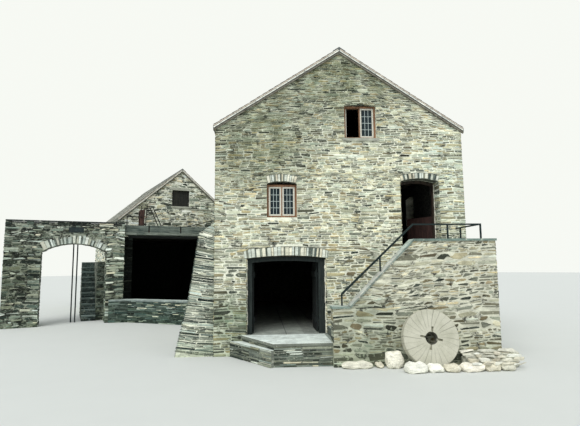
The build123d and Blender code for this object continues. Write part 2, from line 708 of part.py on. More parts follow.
# Upper doorway: frame and the lower half leaf, standing open
def make_upper_doorway():
    left, right, spring, rise = UPPER_DOORWAY
    y0, y1 = UPPER_FRAME_SETBACK, UPPER_FRAME_SETBACK + UPPER_FRAME_DEPTH
    whole = arched(left, right, FIRST_FLOOR_Z, spring, rise, y0, y1)
    clear = arched(
        left + UPPER_FRAME_WIDTH, right - UPPER_FRAME_WIDTH, FIRST_FLOOR_Z - 1,
        spring - UPPER_FRAME_WIDTH, rise, y0 - 1, y1 + 1,
    )
    add("upper_door_frame", whole - clear)
    width = UPPER_DOOR_WIDTH - 2 * UPPER_FRAME_WIDTH - HALF_LEAF_SIDE_GAP
    foot = FIRST_FLOOR_Z + HALF_LEAF_FLOOR_GAP
    leaf = block(-width, 0, 0, HALF_LEAF_THICK, foot, FIRST_FLOOR_Z + HALF_LEAF_HEIGHT)
    hinge = Pos(right - UPPER_FRAME_WIDTH - HALF_LEAF_SEAT, y1 + HALF_LEAF_SEAT, 0)
    add("upper_door_leaf", hinge * Rot(0, 0, -HALF_LEAF_ANGLE) * leaf)


# Platform and its lower step
def make_platform():
    back, corner, front = PLATFORM_BACK_X, PLATFORM_CORNER_X, -PLATFORM_FRONT
    outline = [(back, 0), (corner, front), (STAIR_LEFT, front), (STAIR_LEFT, 0)]
    run = hypot(corner - back, front)
    along = ((corner - back) / run, front / run)
    out = (along[1], -along[0])
    nose = PLATFORM_NOSING
    flags = [
        (back + out[0] * nose - out[1] * nose * along[0] / along[1], 0),
        (corner + out[0] * nose * 1.4, front - nose),
        (STAIR_LEFT, front - nose), (STAIR_LEFT, 0),
    ]
    bed = plan(outline, 0, GROUND_FLOOR_Z - PLATFORM_FLAG)
    top = plan(flags, GROUND_FLOOR_Z - PLATFORM_FLAG, GROUND_FLOOR_Z)
    add("platform", joined(bed, top))
    step = [
        (back, 0), (corner, front),
        (corner + out[0] * STEP_CORNER_GOING, front + out[1] * STEP_CORNER_GOING),
        (back - STEP_BACK_GOING, 0),
    ]
    add("platform_step", plan(step, 0, STEP_Z))


# Outside stair: solid flight and landing, parapet and coping
STAIR_RISE = (FIRST_FLOOR_Z - GROUND_FLOOR_Z) / RISERS
PARAPET_INNER_Y = -(STAIR_DEPTH - PARAPET)
PARAPET_RIGHT_X = MILL_WIDTH - PARAPET


def parapet_line(drop):
    """Top edge of the parapet, from left to right, lowered by a distance."""
    return [
        (STAIR_LEFT, PARAPET_FOOT_Z - drop), (PARAPET_FOOT_END, PARAPET_FOOT_Z - drop),
        (PARAPET_SLOPE_END, PARAPET_TOP_Z - drop), (MILL_WIDTH, PARAPET_TOP_Z - drop),
    ]


def make_stair():
    profile = [(STAIR_LEFT, 0), (STAIR_LEFT, GROUND_FLOOR_Z), (FIRST_RISER_X, GROUND_FLOOR_Z)]
    for i in range(RISERS):
        x = FIRST_RISER_X + i * TREAD_GOING
        z = GROUND_FLOOR_Z + (i + 1) * STAIR_RISE
        profile += [(x, z), (x + TREAD_GOING, z)]
    profile[-1] = (PARAPET_RIGHT_X, FIRST_FLOOR_Z)
    profile.append((PARAPET_RIGHT_X, 0))
    add("stair_flight", upright(profile, PARAPET_INNER_Y, 0))
    outline = [(MILL_WIDTH, 0), (STAIR_LEFT, 0), *parapet_line(COPING)]
    face = upright(outline, -STAIR_DEPTH, PARAPET_INNER_Y)
    side = block(PARAPET_RIGHT_X, MILL_WIDTH, PARAPET_INNER_Y, 0, 0, PARAPET_TOP_Z - COPING)
    add("stair_parapet", joined(face, side))


def make_coping():
    """Slabs on the parapet: one at the foot, then the slope, the level run and the return."""
    y0, y1 = -(STAIR_DEPTH + COPING_NOSING), PARAPET_INNER_Y + COPING_NOSING
    right = MILL_WIDTH + COPING_NOSING
    low, high = PARAPET_FOOT_Z - COPING, PARAPET_TOP_Z - COPING
    inner_x = PARAPET_RIGHT_X - COPING_NOSING
    left = STAIR_LEFT - COPING_NOSING
    add("stair_coping", block(left, PARAPET_FOOT_END, y0, y1, low, PARAPET_FOOT_Z))

    def slabs(start, end, z_start, z_end, count):
        for i in range(count):
            a, b = (start + (end - start) * k / count for k in (i, i + 1))
            za, zb = (z_start + (z_end - z_start) * k / count for k in (i, i + 1))
            a += COPING_JOINT
            za += COPING_JOINT * (z_end - z_start) / (end - start)
            slab = [(a, za), (b, zb), (b, zb + COPING), (a, za + COPING)]
            add("stair_coping", upright(slab, y0, y1))

    slabs(PARAPET_FOOT_END, PARAPET_SLOPE_END, low, high, SLOPE_COPING_SLABS)
    slabs(PARAPET_SLOPE_END, right, high, high, LEVEL_COPING_SLABS)
    add("stair_coping", block(inner_x, right, y1 + COPING_JOINT, 0, high, PARAPET_TOP_Z))


def make_handrail():
    y = -(STAIR_DEPTH - RAIL_INSET)
    half = RAIL_SIZE / 2
    right = MILL_WIDTH - RAIL_RIGHT_INSET
    low = PARAPET_FOOT_Z + RAIL_FOOT_HEIGHT
    high = PARAPET_TOP_Z + RAIL_LEVEL_HEIGHT
    slope = (high - low) / (RAIL_BEND_X - RAIL_FOOT_X)
    coping_slope = (PARAPET_TOP_Z - PARAPET_FOOT_Z) / (PARAPET_SLOPE_END - PARAPET_FOOT_END)

    def post(x, place_y, foot, top):
        return block(x - half, x + half, place_y - half, place_y + half, foot, top)

    def coping_top(x):
        sloped = PARAPET_FOOT_Z + max(0.0, x - PARAPET_FOOT_END) * coping_slope
        return min(sloped, PARAPET_TOP_Z)

    def rail_at(x):
        return min(low + max(0.0, x - RAIL_FOOT_X) * slope, high)

    run = [
        (RAIL_FOOT_X - half, low - half), (RAIL_FOOT_X + half, low - half),
        (RAIL_BEND_X + half * slope, high - half), (right + half, high - half),
        (right + half, high + half), (RAIL_BEND_X - half * slope / 2, high + half),
        (RAIL_FOOT_X - half, low + half),
    ]
    rail = upright(run, y - half, y + half)
    back = block(right - half, right + half, y, 0, high - half, high + half)
    posts = [post(RAIL_FOOT_X, y, PARAPET_FOOT_Z, low)]
    for x in RAIL_POSTS_X:
        reach = half * coping_slope if x < PARAPET_SLOPE_END else 0.0
        foot = block(x - half, x + half, y - half, y + half, coping_top(x) + reach, rail_at(x))
        posts.append(foot)
    posts.append(post(right, y, PARAPET_TOP_Z, high))
    posts.append(post(right, -RAIL_RETURN_POST_Y, PARAPET_TOP_Z, high))
    add("stair_handrail", joined(rail, back, *posts))


# Millstone and the rough footing stones
def make_millstone():
    middle = Pos(0, -MILLSTONE_THICK / 2, MILLSTONE_RADIUS) * Rot(90, 0, 0)
    stone = middle * Cylinder(MILLSTONE_RADIUS, MILLSTONE_THICK)
    stone = chamfer(stone.edges().filter_by(GeomType.CIRCLE), MILLSTONE_ARRIS)
    eye = middle * Cylinder(MILLSTONE_EYE, MILLSTONE_THICK * 1.2)
    reach = MILLSTONE_EYE + MILLSTONE_CUT_LENGTH
    cuts = [eye]
    for turn in (0, 90):
        slot = Box(2 * reach, MILLSTONE_CUT_DEPTH, MILLSTONE_CUT_WIDTH)
        front = Pos(0, -MILLSTONE_THICK + MILLSTONE_CUT_DEPTH / 2, MILLSTONE_RADIUS)
        cuts.append(front * Rot(0, turn + MILLSTONE_CUT_TURN, 0) * slot)
    tilt = radians(MILLSTONE_LEAN)
    lean = (2 * MILLSTONE_RADIUS - MILLSTONE_ARRIS) * sin(tilt)
    foot = Pos(MILLSTONE_X, -STAIR_DEPTH - lean - STONE_SEAT_GAP, -MILLSTONE_ARRIS * sin(tilt))
    add("millstone", foot * Rot(-MILLSTONE_LEAN, 0, 0) * (stone - cuts))


def footing_stone(left, right, start, depth, height):
    """Stone with its top front edge and its front corners knocked off."""
    x0, x1 = STAIR_LEFT + left, STAIR_LEFT + right - STONE_SEAT_GAP
    stone = block(x0, x1, -STAIR_DEPTH - start - depth, -STAIR_DEPTH - start, 0, height)
    top = stone.edges().group_by(Axis.Z)[-1].sort_by(Axis.Y)
    stone = chamfer(top[0], height * 0.45, depth * 0.4)
    front = stone.edges().filter_by(Axis.Z).group_by(Axis.Y)[0]
    return chamfer(front, min(depth, x1 - x0) * 0.2)


def make_footing_stones():
    """Stones at the stair's foot, in front of the millstone, and the sloping toe at its corner."""
    lean = (2 * MILLSTONE_RADIUS - MILLSTONE_ARRIS) * sin(radians(MILLSTONE_LEAN))
    row = lean + MILLSTONE_THICK + FOOTING_CLEARANCE
    for left, right, start, depth, height in WALL_FOOTING:
        add("footing_stones", footing_stone(left, right, start, depth, height))
    for left, right, start, depth, height in FRONT_FOOTING:
        add("footing_stones", footing_stone(left, right, start + row, depth, height))
    toe_end = STAIR_LENGTH + TOE_PAST_CORNER
    front = -row + STONE_SEAT_GAP
    profile = [(0, 0), (front, 0), (front, TOE_FRONT_HEIGHT), (0, TOE_HEIGHT)]
    plane = Plane(origin=(STAIR_LEFT + TOE_START, -STAIR_DEPTH, 0), x_dir=(0, 1, 0), z_dir=(1, 0, 0))
    toe = extrude(plane * make_face(Polyline(*profile, close=True)), amount=toe_end - TOE_START)
    end = toe.edges().filter_by(Axis.Z).group_by(Axis.X)[-1].sort_by(Axis.Y)[0]
    add("footing_stones", chamfer(end, TOE_PAST_CORNER * 0.8))


# Buttress
def make_buttress():
    line = [
        (0, 0), (-BUTTRESS_BASE, 0), (-BUTTRESS_MID[0], BUTTRESS_MID[1]),
        (-BUTTRESS_SHOULDER[0], BUTTRESS_SHOULDER[1]), (0, BUTTRESS_TOP_Z),
    ]
    add("buttress", upright(line, BUTTRESS_FACE, BUTTRESS_FACE + BUTTRESS_DEPTH))


# Aqueduct wall with its arch, and the coping on its cheeks
def make_aqueduct():
    start, end, thick = -AQUEDUCT_LENGTH, 0, AQUEDUCT_THICK
    body = block(start, end, 0, thick, 0, AQUEDUCT_TOP_Z)
    channel = block(
        start - 1, end + 1, AQUEDUCT_CHEEK, thick - AQUEDUCT_CHEEK,
        AQUEDUCT_BED_Z, AQUEDUCT_TOP_Z + 1,
    )
    left = -AQUEDUCT_ARCH_RIGHT - AQUEDUCT_ARCH_WIDTH
    ring = (left, -AQUEDUCT_ARCH_RIGHT, AQUEDUCT_SPRING, AQUEDUCT_RISE)
    opening = arched(*ring[:2], -1, *ring[2:], -1, thick + 1)
    ring_size = (AQUEDUCT_ARCH, AQUEDUCT_ARCH_SEAT)
    band = arch_band(*ring, *ring_size, -VOUSSOIR_PROUD, VOUSSOIR_DEPTH)
    slot_foot = AQUEDUCT_TOP_Z - SLOT_HEIGHT
    slots = [
        block(-place, -place + length, -1, AQUEDUCT_CHEEK + 1, slot_foot, AQUEDUCT_TOP_Z + 1)
        for place, length in SLOTS
    ]
    add("aqueduct_wall", body - [channel, opening, band, *slots], place=LINE)
    stones = voussoirs(*ring, *ring_size, AQUEDUCT_VOUSSOIRS, joint=AQUEDUCT_JOINT)
    add("aqueduct_arch", stones, place=LINE)
    edges = ((-COPING_NOSING, AQUEDUCT_CHEEK), (thick - AQUEDUCT_CHEEK, thick + COPING_NOSING))
    for y0, y1 in edges:
        slab = block(start, end, y0, y1, AQUEDUCT_TOP_Z, AQUEDUCT_TOP_Z + AQUEDUCT_COPING)
        add("aqueduct_coping", slab, place=LINE)


# Launder from the aqueduct to the mill's left wall
LAUNDER_Y0 = AQUEDUCT_CHEEK
LAUNDER_Y1 = AQUEDUCT_THICK - AQUEDUCT_CHEEK


def mill_side(solid):
    """Cut away what would run into the mill's left wall."""
    reach = 3 * MILL_DEPTH
    return solid - block(0, MILL_WIDTH, -reach, reach, -1, 2 * APEX_Z)


def make_launder():
    far = hypot(*LINE_START)
    outer = block(-LAUNDER_LAP, far, LAUNDER_Y0, LAUNDER_Y1, AQUEDUCT_BED_Z, LAUNDER_TOP_Z)
    inner = block(
        -LAUNDER_LAP - 1, far + 1, LAUNDER_Y0 + LAUNDER_BOARD, LAUNDER_Y1 - LAUNDER_BOARD,
        AQUEDUCT_BED_Z + LAUNDER_FLOOR, LAUNDER_TOP_Z + 1,
    )
    add("launder", mill_side(LINE * (outer - inner)))
    t = LAUNDER_STRAP_THICK
    for place in STRAP_PLACES:
        a, b = place, place + LAUNDER_STRAP
        band = block(a, b, LAUNDER_Y0 - t, LAUNDER_Y1 + t, AQUEDUCT_BED_Z - t, LAUNDER_TOP_Z)
        band = band - block(a - 1, b + 1, LAUNDER_Y0, LAUNDER_Y1, AQUEDUCT_BED_Z, LAUNDER_TOP_Z + 1)
        add("launder_straps", band, place=LINE)
    top, foot = SPOUT_TOP_WIDTH / 2, SPOUT_BOTTOM_WIDTH / 2
    z0 = AQUEDUCT_BED_Z
    line = [
        (SPOUT_PLACE - top, z0 + SPOUT_HEIGHT), (SPOUT_PLACE + top, z0 + SPOUT_HEIGHT),
        (SPOUT_PLACE + foot, z0), (SPOUT_PLACE - foot, z0),
    ]
    add("launder_spout", upright(line, LAUNDER_Y0 - SPOUT_DEPTH, LAUNDER_Y0), place=LINE)


# Sluice: posts with a head, the sliding gate, the hoist frame and the rods
GATE_X = SLUICE_LEFT + SLUICE_POST / 2
GATE_SEAT_Z = AQUEDUCT_BED_Z + LAUNDER_FLOOR
SLUICE_Y0 = LAUNDER_Y0 + LAUNDER_BOARD
SLUICE_Y1 = LAUNDER_Y1 - LAUNDER_BOARD


def make_sluice():
    left, right = SLUICE_LEFT, SLUICE_LEFT + SLUICE_POST
    head_z = SLUICE_TOP_Z
    posts = joined(
        block(left, right, SLUICE_Y0, SLUICE_Y0 + SLUICE_POST_DEPTH, GATE_SEAT_Z, head_z),
        block(left, right, SLUICE_Y1 - SLUICE_POST_DEPTH, SLUICE_Y1, GATE_SEAT_Z, head_z),
        block(left, right, SLUICE_Y0, SLUICE_Y1, head_z, head_z + SLUICE_HEAD),
    )
    guide_in = SLUICE_POST_DEPTH - GATE_SLOT_DEPTH
    middle_y = (SLUICE_Y0 + SLUICE_Y1) / 2
    slot = block(
        GATE_X - GATE_SLOT / 2, GATE_X + GATE_SLOT / 2, SLUICE_Y0 + guide_in, SLUICE_Y1 - guide_in,
        GATE_SEAT_Z - 1, head_z,
    )
    hole = GATE_STEM / 2 + GATE_SIDE_GAP
    stem_hole = block(
        GATE_X - hole, GATE_X + hole, middle_y - hole, middle_y + hole,
        head_z - 1, head_z + SLUICE_HEAD + 1,
    )
    add("sluice_frame", posts - [slot, stem_hole], place=LINE)
    y0, y1 = SLUICE_Y0 + guide_in + GATE_GUIDE_GAP, SLUICE_Y1 - guide_in - GATE_GUIDE_GAP
    foot = GATE_SEAT_Z + GATE_RAISED
    board = block(GATE_X - GATE_THICK / 2, GATE_X + GATE_THICK / 2, y0, y1, foot, foot + GATE_HEIGHT)
    half = GATE_STEM / 2
    top = foot + GATE_HEIGHT
    stem_top = top + GATE_STEM_HEIGHT
    stem = block(GATE_X - half, GATE_X + half, middle_y - half, middle_y + half, top, stem_top)
    grip = block(
        GATE_X - half, GATE_X + half, middle_y - GATE_GRIP / 2, middle_y + GATE_GRIP / 2,
        stem_top, stem_top + GATE_STEM,
    )
    add("sluice_gate", joined(board, stem, grip), place=LINE)
    size = HOIST_BAR
    floor = block(0, HOIST_RIGHT * 2, 0, AQUEDUCT_THICK, 0, LAUNDER_TOP_Z)
    for y in (LAUNDER_Y0 + size / 2, LAUNDER_Y1 - size / 2):
        top_left = (HOIST_TOP_LEFT, y, HOIST_TOP_Z)
        top_right = (HOIST_TOP_RIGHT, y, HOIST_TOP_Z)
        cross_left = (HOIST_TOP_LEFT - size, y, HOIST_TOP_Z)
        cross_right = (HOIST_TOP_RIGHT + size, y, HOIST_TOP_Z)
        frame = joined(
            bar((HOIST_LEFT, y, LAUNDER_TOP_Z), top_left, size),
            bar((HOIST_RIGHT, y, LAUNDER_TOP_Z), top_right, size),
            bar(cross_left, cross_right, size),
        )
        add("hoist_frames", frame - floor, place=LINE)
    y = SLUICE_Y0 - size / 2
    stay = joined(
        bar((STAY_LEFT, y, STAY_Z), (GATE_X, y, STAY_Z), size),
        bar((STAY_LEFT, y, LAUNDER_TOP_Z), (STAY_LEFT, y, STAY_Z + size / 2), size),
    )
    add("hoist_frames", stay, place=LINE)
    start = (ROD_START, ROD_BACK, ROD_Z)
    end = (ROD_START + ROD_LENGTH, ROD_BACK, ROD_Z + ROD_LENGTH * tan(radians(ROD_ANGLE)))
    bearer = block(
        ROD_START - ROD_SIZE, ROD_START + ROD_SIZE, SLUICE_Y0, SLUICE_Y1,
        LAUNDER_TOP_Z - ROD_BEARER_DEPTH, ROD_Z + ROD_SIZE / 2,
    )
    rod = joined(bar(start, end, ROD_SIZE), bearer)
    add("control_rod", mill_side(LINE * rod))


# Low wall and coping in front of the wheel pit
def make_pit():
    run = hypot(PIT_CORNER[0], PIT_MILL_Y - PIT_CORNER[1])
    along = (-PIT_CORNER[0] / run, (PIT_MILL_Y - PIT_CORNER[1]) / run)
    back = (-along[1], along[0])

    def outline(front, rear):
        left, corner, end = PIT_LEFT, PIT_CORNER, (0, PIT_MILL_Y)
        return [
            (left[0], left[1] - front), (corner[0], corner[1] - front),
            (end[0], end[1] - front / back[1]), (end[0], end[1] + rear / back[1]),
            (corner[0] + back[0] * rear, corner[1] + back[1] * rear),
            (left[0], left[1] + rear),
        ]

    pier = LINE * block(-AQUEDUCT_LENGTH, 0, 0, AQUEDUCT_THICK, -1, AQUEDUCT_TOP_Z)
    add("pit_wall", plan(outline(0, PIT_WALL), 0, PIT_WALL_Z) - pier)
    slab_line = outline(PIT_COPING_NOSING, PIT_WALL + PIT_COPING_NOSING)
    slab = plan(slab_line, PIT_WALL_Z, PIT_WALL_Z + PIT_COPING)
    add("pit_coping", slab - pier)


# Wing: walls, the beam over the wheel opening, loft floor, roof and shutter
WING_RIGHT = WING_LEFT + WING_WIDTH
WING_BACK = WING_FRONT + WING_DEPTH
WING_AXIS = WING_LEFT + WING_WIDTH / 2


def make_wing():
    wall, front, back = WING_WALL, WING_FRONT, WING_BACK
    inner_eaves = WING_EAVES_Z + wall * WING_SLOPE
    beam = block(
        WING_OPENING_LEFT - WING_BEAM_SEAT, WING_OPENING_RIGHT + WING_BEAM_SEAT, front, front + wall,
        WING_BEAM_Z, WING_BEAM_Z + WING_BEAM,
    )
    shutter_right = SHUTTER_LEFT + SHUTTER_WIDTH
    shutter_top = SHUTTER_SILL_Z + SHUTTER_HEIGHT
    hole = block(
        SHUTTER_LEFT, shutter_right, front - 1, front + wall + 1, SHUTTER_SILL_Z, shutter_top
    )
    lintel = block(
        SHUTTER_LEFT - LINTEL_SEAT, shutter_right + LINTEL_SEAT, front - LINTEL_PROUD,
        front + wall / 2, shutter_top, shutter_top + LINTEL_HEIGHT,
    )
    sill = block(
        SHUTTER_LEFT - SILL_EAR, shutter_right + SILL_EAR, front - SILL_PROJECTION,
        front + SHUTTER_SETBACK, SHUTTER_SILL_Z - SILL_HEIGHT, SHUTTER_SILL_Z,
    )
    gable = [
        (WING_LEFT, WING_BEAM_Z), (WING_RIGHT, WING_BEAM_Z), (WING_RIGHT, WING_EAVES_Z),
        (WING_AXIS, WING_APEX_Z), (WING_LEFT, WING_EAVES_Z),
    ]
    under_verge = WING_APEX_Z - VERGE_BOARD_HEIGHT - DRIP_Z - DRIP_HEIGHT
    drip = block(
        shutter_right + SILL_EAR, WING_AXIS + under_verge / WING_SLOPE - SILL_EAR,
        front - SILL_PROJECTION, front + DRIP_SEAT, DRIP_Z, DRIP_Z + DRIP_HEIGHT,
    )
    front_wall = leaning(gable, front, front + wall) - [beam, hole, lintel, sill, drip]
    add("wing_front_wall", mill_side(LINE * front_wall))
    add("wing_beam", beam, place=LINE)
    add("sills_and_lintel", lintel, sill, drip, place=LINE)
    side = [
        (WING_LEFT, 0), (WING_LEFT + wall, 0), (WING_LEFT + wall, inner_eaves),
        (WING_LEFT, WING_EAVES_Z),
    ]
    sides = ((side, WING_OPENING_LEFT), (mirrored(side, WING_AXIS), WING_OPENING_RIGHT))
    for line, edge in sides:
        run = leaning(line, front + wall, back - wall)
        foot = line[0][0]
        pier = [(foot, 0), (edge, 0), (edge, WING_BEAM_Z), (foot, WING_BEAM_Z)]
        pier = leaning(pier, front, front + wall)
        add("wing_side_walls", mill_side(LINE * joined(run, pier)))
    back_gable = [(x, 0 if z == WING_BEAM_Z else z) for x, z in gable]
    add("wing_back_wall", leaning(back_gable, back - wall, back), place=LINE)
    left, right, top = WING_LEFT + wall, WING_RIGHT - wall, WING_BEAM_Z + WING_BEAM
    loft = [(left, top - LOFT_FLOOR), (right, top - LOFT_FLOOR), (right, top), (left, top)]
    add("wing_loft_floor", leaning(loft, front + wall, back - wall), place=LINE)
    y = front + SHUTTER_SETBACK
    shutter = block(SHUTTER_LEFT, shutter_right, y, y + SHUTTER_THICK, SHUTTER_SILL_Z, shutter_top)
    add("wing_shutter", shutter, place=LINE)
    y0, y1 = front - WING_OVERHANG, back + WING_OVERHANG
    board = (WING_LEFT, WING_WIDTH, WING_EAVES_Z, WING_APEX_Z, WING_OVERHANG)
    slope = slope_line(*board, 0, WING_SLATE)
    add("wing_roof_left", leaning(slope, y0, y1), place=LINE)
    add("wing_roof_right", mill_side(LINE * leaning(mirrored(slope, WING_AXIS), y0, y1)))
    ridge = (WING_AXIS, WING_APEX_Z + WING_SLATE, WING_SLOPE, y0, y1)
    ridge_run("ridge_tiles", *ridge, carry=leaning, place=LINE)
    for a, b in ((front - VERGE_BOARD_DEPTH, front), (back, back + VERGE_BOARD_DEPTH)):
        add("verges", mill_side(LINE * verge_board(*board, a, b, carry=leaning)))


# Steps that rise behind the arch, beside the wing
def make_rear_steps():
    left, right = REAR_STEPS_LEFT, REAR_STEPS_LEFT + REAR_STEPS_WIDTH
    end = REAR_STEPS_START + REAR_STEP_COUNT * REAR_STEP_GOING
    steps = []
    for i in range(REAR_STEP_COUNT):
        start, top = REAR_STEPS_START + i * REAR_STEP_GOING, (i + 1) * REAR_STEP_RISE
        steps.append(block(left, right, start, end, i * REAR_STEP_RISE, top))
        steps.append(block(left, right, start - REAR_NOSING, end, top - REAR_TREAD, top))
    add("rear_steps", joined(*steps), place=LINE)
    lean = (end - WING_FRONT) * tan(radians(WING_SKEW))
    outline = [
        (right, WING_FRONT), (WING_LEFT, WING_FRONT), (WING_LEFT - lean, end), (right, end)
    ]
    add("rear_step_wall", plan(outline, 0, REAR_STEP_COUNT * REAR_STEP_RISE), place=LINE)
    for place in REAR_POSTS:
        post = block(
            place, place + REAR_POST_SIZE, AQUEDUCT_THICK, AQUEDUCT_THICK + REAR_POST_SIZE,
            0, REAR_POST_Z,
        )
        add("rear_step_posts", post, place=LINE)


def make_all():
    make_walls(make_openings())
    make_floors()
    make_roofs()
    make_doorway()
    make_upper_doorway()
    make_platform()
    make_stair()
    make_coping()
    make_handrail()
    make_millstone()
    make_footing_stones()
    make_buttress()
    make_aqueduct()
    make_launder()
    make_sluice()
    make_pit()
    make_wing()
    make_rear_steps()


make_all()

# The origin goes to the ground under the middle of the whole group
whole = Compound(children=[Compound(children=list(solids)) for solids in pieces.values()])
extent = whole.bounding_box()
SHIFT = Vector(-(extent.min.X + extent.max.X) / 2, -(extent.min.Y + extent.max.Y) / 2, -extent.min.Z)

os.makedirs("parts", exist_ok=True)
for node, solids in pieces.items():
    found = [Pos(SHIFT) * solid for item in solids for solid in item.solids()]
    shape = found[0] if len(found) == 1 else Compound(children=found)
    export_step(shape, f"parts/{node}.step")
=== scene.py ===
"""Stone watermill: stonework, slates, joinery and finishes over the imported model."""
import logging
import math
import random
from dataclasses import dataclass, field, replace
from enum import Enum
from typing import Any, Callable, Sequence

import bmesh
import bpy
from mathutils import Matrix, Vector


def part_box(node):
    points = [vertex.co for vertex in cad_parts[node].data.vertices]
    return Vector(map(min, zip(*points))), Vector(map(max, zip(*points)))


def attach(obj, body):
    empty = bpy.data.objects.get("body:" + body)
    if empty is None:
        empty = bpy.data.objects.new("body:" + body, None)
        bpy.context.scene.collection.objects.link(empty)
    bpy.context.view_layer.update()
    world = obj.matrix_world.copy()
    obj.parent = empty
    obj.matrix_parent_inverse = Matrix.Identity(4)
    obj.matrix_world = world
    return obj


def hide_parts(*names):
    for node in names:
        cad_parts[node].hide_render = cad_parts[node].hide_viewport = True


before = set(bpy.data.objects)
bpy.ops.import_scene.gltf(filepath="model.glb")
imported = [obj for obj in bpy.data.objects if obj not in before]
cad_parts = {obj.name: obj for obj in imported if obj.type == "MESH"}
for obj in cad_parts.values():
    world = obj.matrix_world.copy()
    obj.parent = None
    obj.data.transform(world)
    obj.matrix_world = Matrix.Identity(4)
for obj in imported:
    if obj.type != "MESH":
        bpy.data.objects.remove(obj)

# How far stones reach past the left and right end of a wall
BOTH_ENDS, NO_END, LEFT_END, RIGHT_END = (0.009, 0.009), (0.0, 0.0), (0.009, 0.0), (0.0, 0.009)
# Distance from an edge over which courses turn level
FADE = 0.15
# Size, factors along and up, and start of each wave that the courses follow
WAVES = ((1.0, 1.7, 0.9, 0.0), (0.6, 4.1, -1.3, 1.0), (0.3, 9.7, 3.1, 2.0), (0.5, 15.0, 37.0, 0.0))
# Heights of stones, each with the bevel of lower stones
BEVELS = ((0.030, 0.0035), (0.055, 0.006), (math.inf, 0.010))
# Heights: what takes no course, what the last course takes in, and what may be split
THINNEST_COURSE, LAST_COURSE, SPLIT_COURSE = 0.012, 0.028, 0.055
# Length of the last stone of a course, in lengths of a usual one
LONGEST_LAST = 1.55
# Least length and height of a stone, and its depth in the mortar
SHORTEST, LOWEST, BEDDED_BY = 0.012, 0.006, 0.003
# Corners that count as one, vertices that are merged, and the least area of a stone
TOUCHING, MERGED, SLIVER = 0.004, 0.00005, 0.00008
LOG = logging.getLogger("watermill")
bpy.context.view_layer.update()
LOW_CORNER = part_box("front_wall_left")[0]
UP = Vector((0.0, 0.0, 1.0))
EAST = Vector((1.0, 0.0, 0.0))
NORTH = Vector((0.0, 1.0, 0.0))
LINE_TURN = math.radians(22.0)
ALONG = Vector((math.cos(LINE_TURN), math.sin(LINE_TURN), 0.0))
BACK = Vector((-math.sin(LINE_TURN), math.cos(LINE_TURN), 0.0))
Point = tuple[float, float]
Triple = tuple[float, float, float]
Colour = Triple
Place = Callable[[float, float, float], Vector]


def mill(x: float, y: float, z: float = 0.0) -> Vector:
    """Point measured from the facade's lower left corner.

    Args:
        x: Metres to the right along the facade.
        y: Metres back from the facade.
        z: Metres above the ground.

    Returns:
        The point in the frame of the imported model.
    """
    return Vector((LOW_CORNER.x + x, LOW_CORNER.y + y, z))


def line(s: float, back: float, z: float = 0.0) -> Vector:
    """Point measured in the turned line of the aqueduct, launder and wing.

    Args:
        s: Metres along the line, from the aqueduct's right end.
        back: Metres behind the aqueduct's face.
        z: Metres above the ground.

    Returns:
        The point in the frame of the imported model.
    """
    return mill(-4.38, 7.33, z) + ALONG * s + BACK * back


# Shader arithmetic
def arithmetic(operation: str, swapped: bool = False) -> Callable[["Socket", "Value"], "Socket"]:
    """Operator of a socket that adds a math node.

    Args:
        operation: The node's operation.
        swapped: True where the socket stands on the right.

    Returns:
        The method.
    """

    def method(self: "Socket", other: "Value") -> "Socket":
        """Combine the socket with a number or another socket."""
        return self.shader.maths(operation, *((other, self) if swapped else (self, other)))

    return method


class Socket:
    """A node's output that takes part in Python arithmetic."""

    __add__, __radd__ = arithmetic("ADD"), arithmetic("ADD", swapped=True)
    __sub__, __rsub__ = arithmetic("SUBTRACT"), arithmetic("SUBTRACT", swapped=True)
    __mul__, __rmul__ = arithmetic("MULTIPLY"), arithmetic("MULTIPLY", swapped=True)
    __truediv__ = arithmetic("DIVIDE")

    def __init__(self, shader: "Shader", out: bpy.types.NodeSocket) -> None:
        """Wrap an output socket of a shader."""
        self.shader = shader
        self.out = out


Value = Socket | float


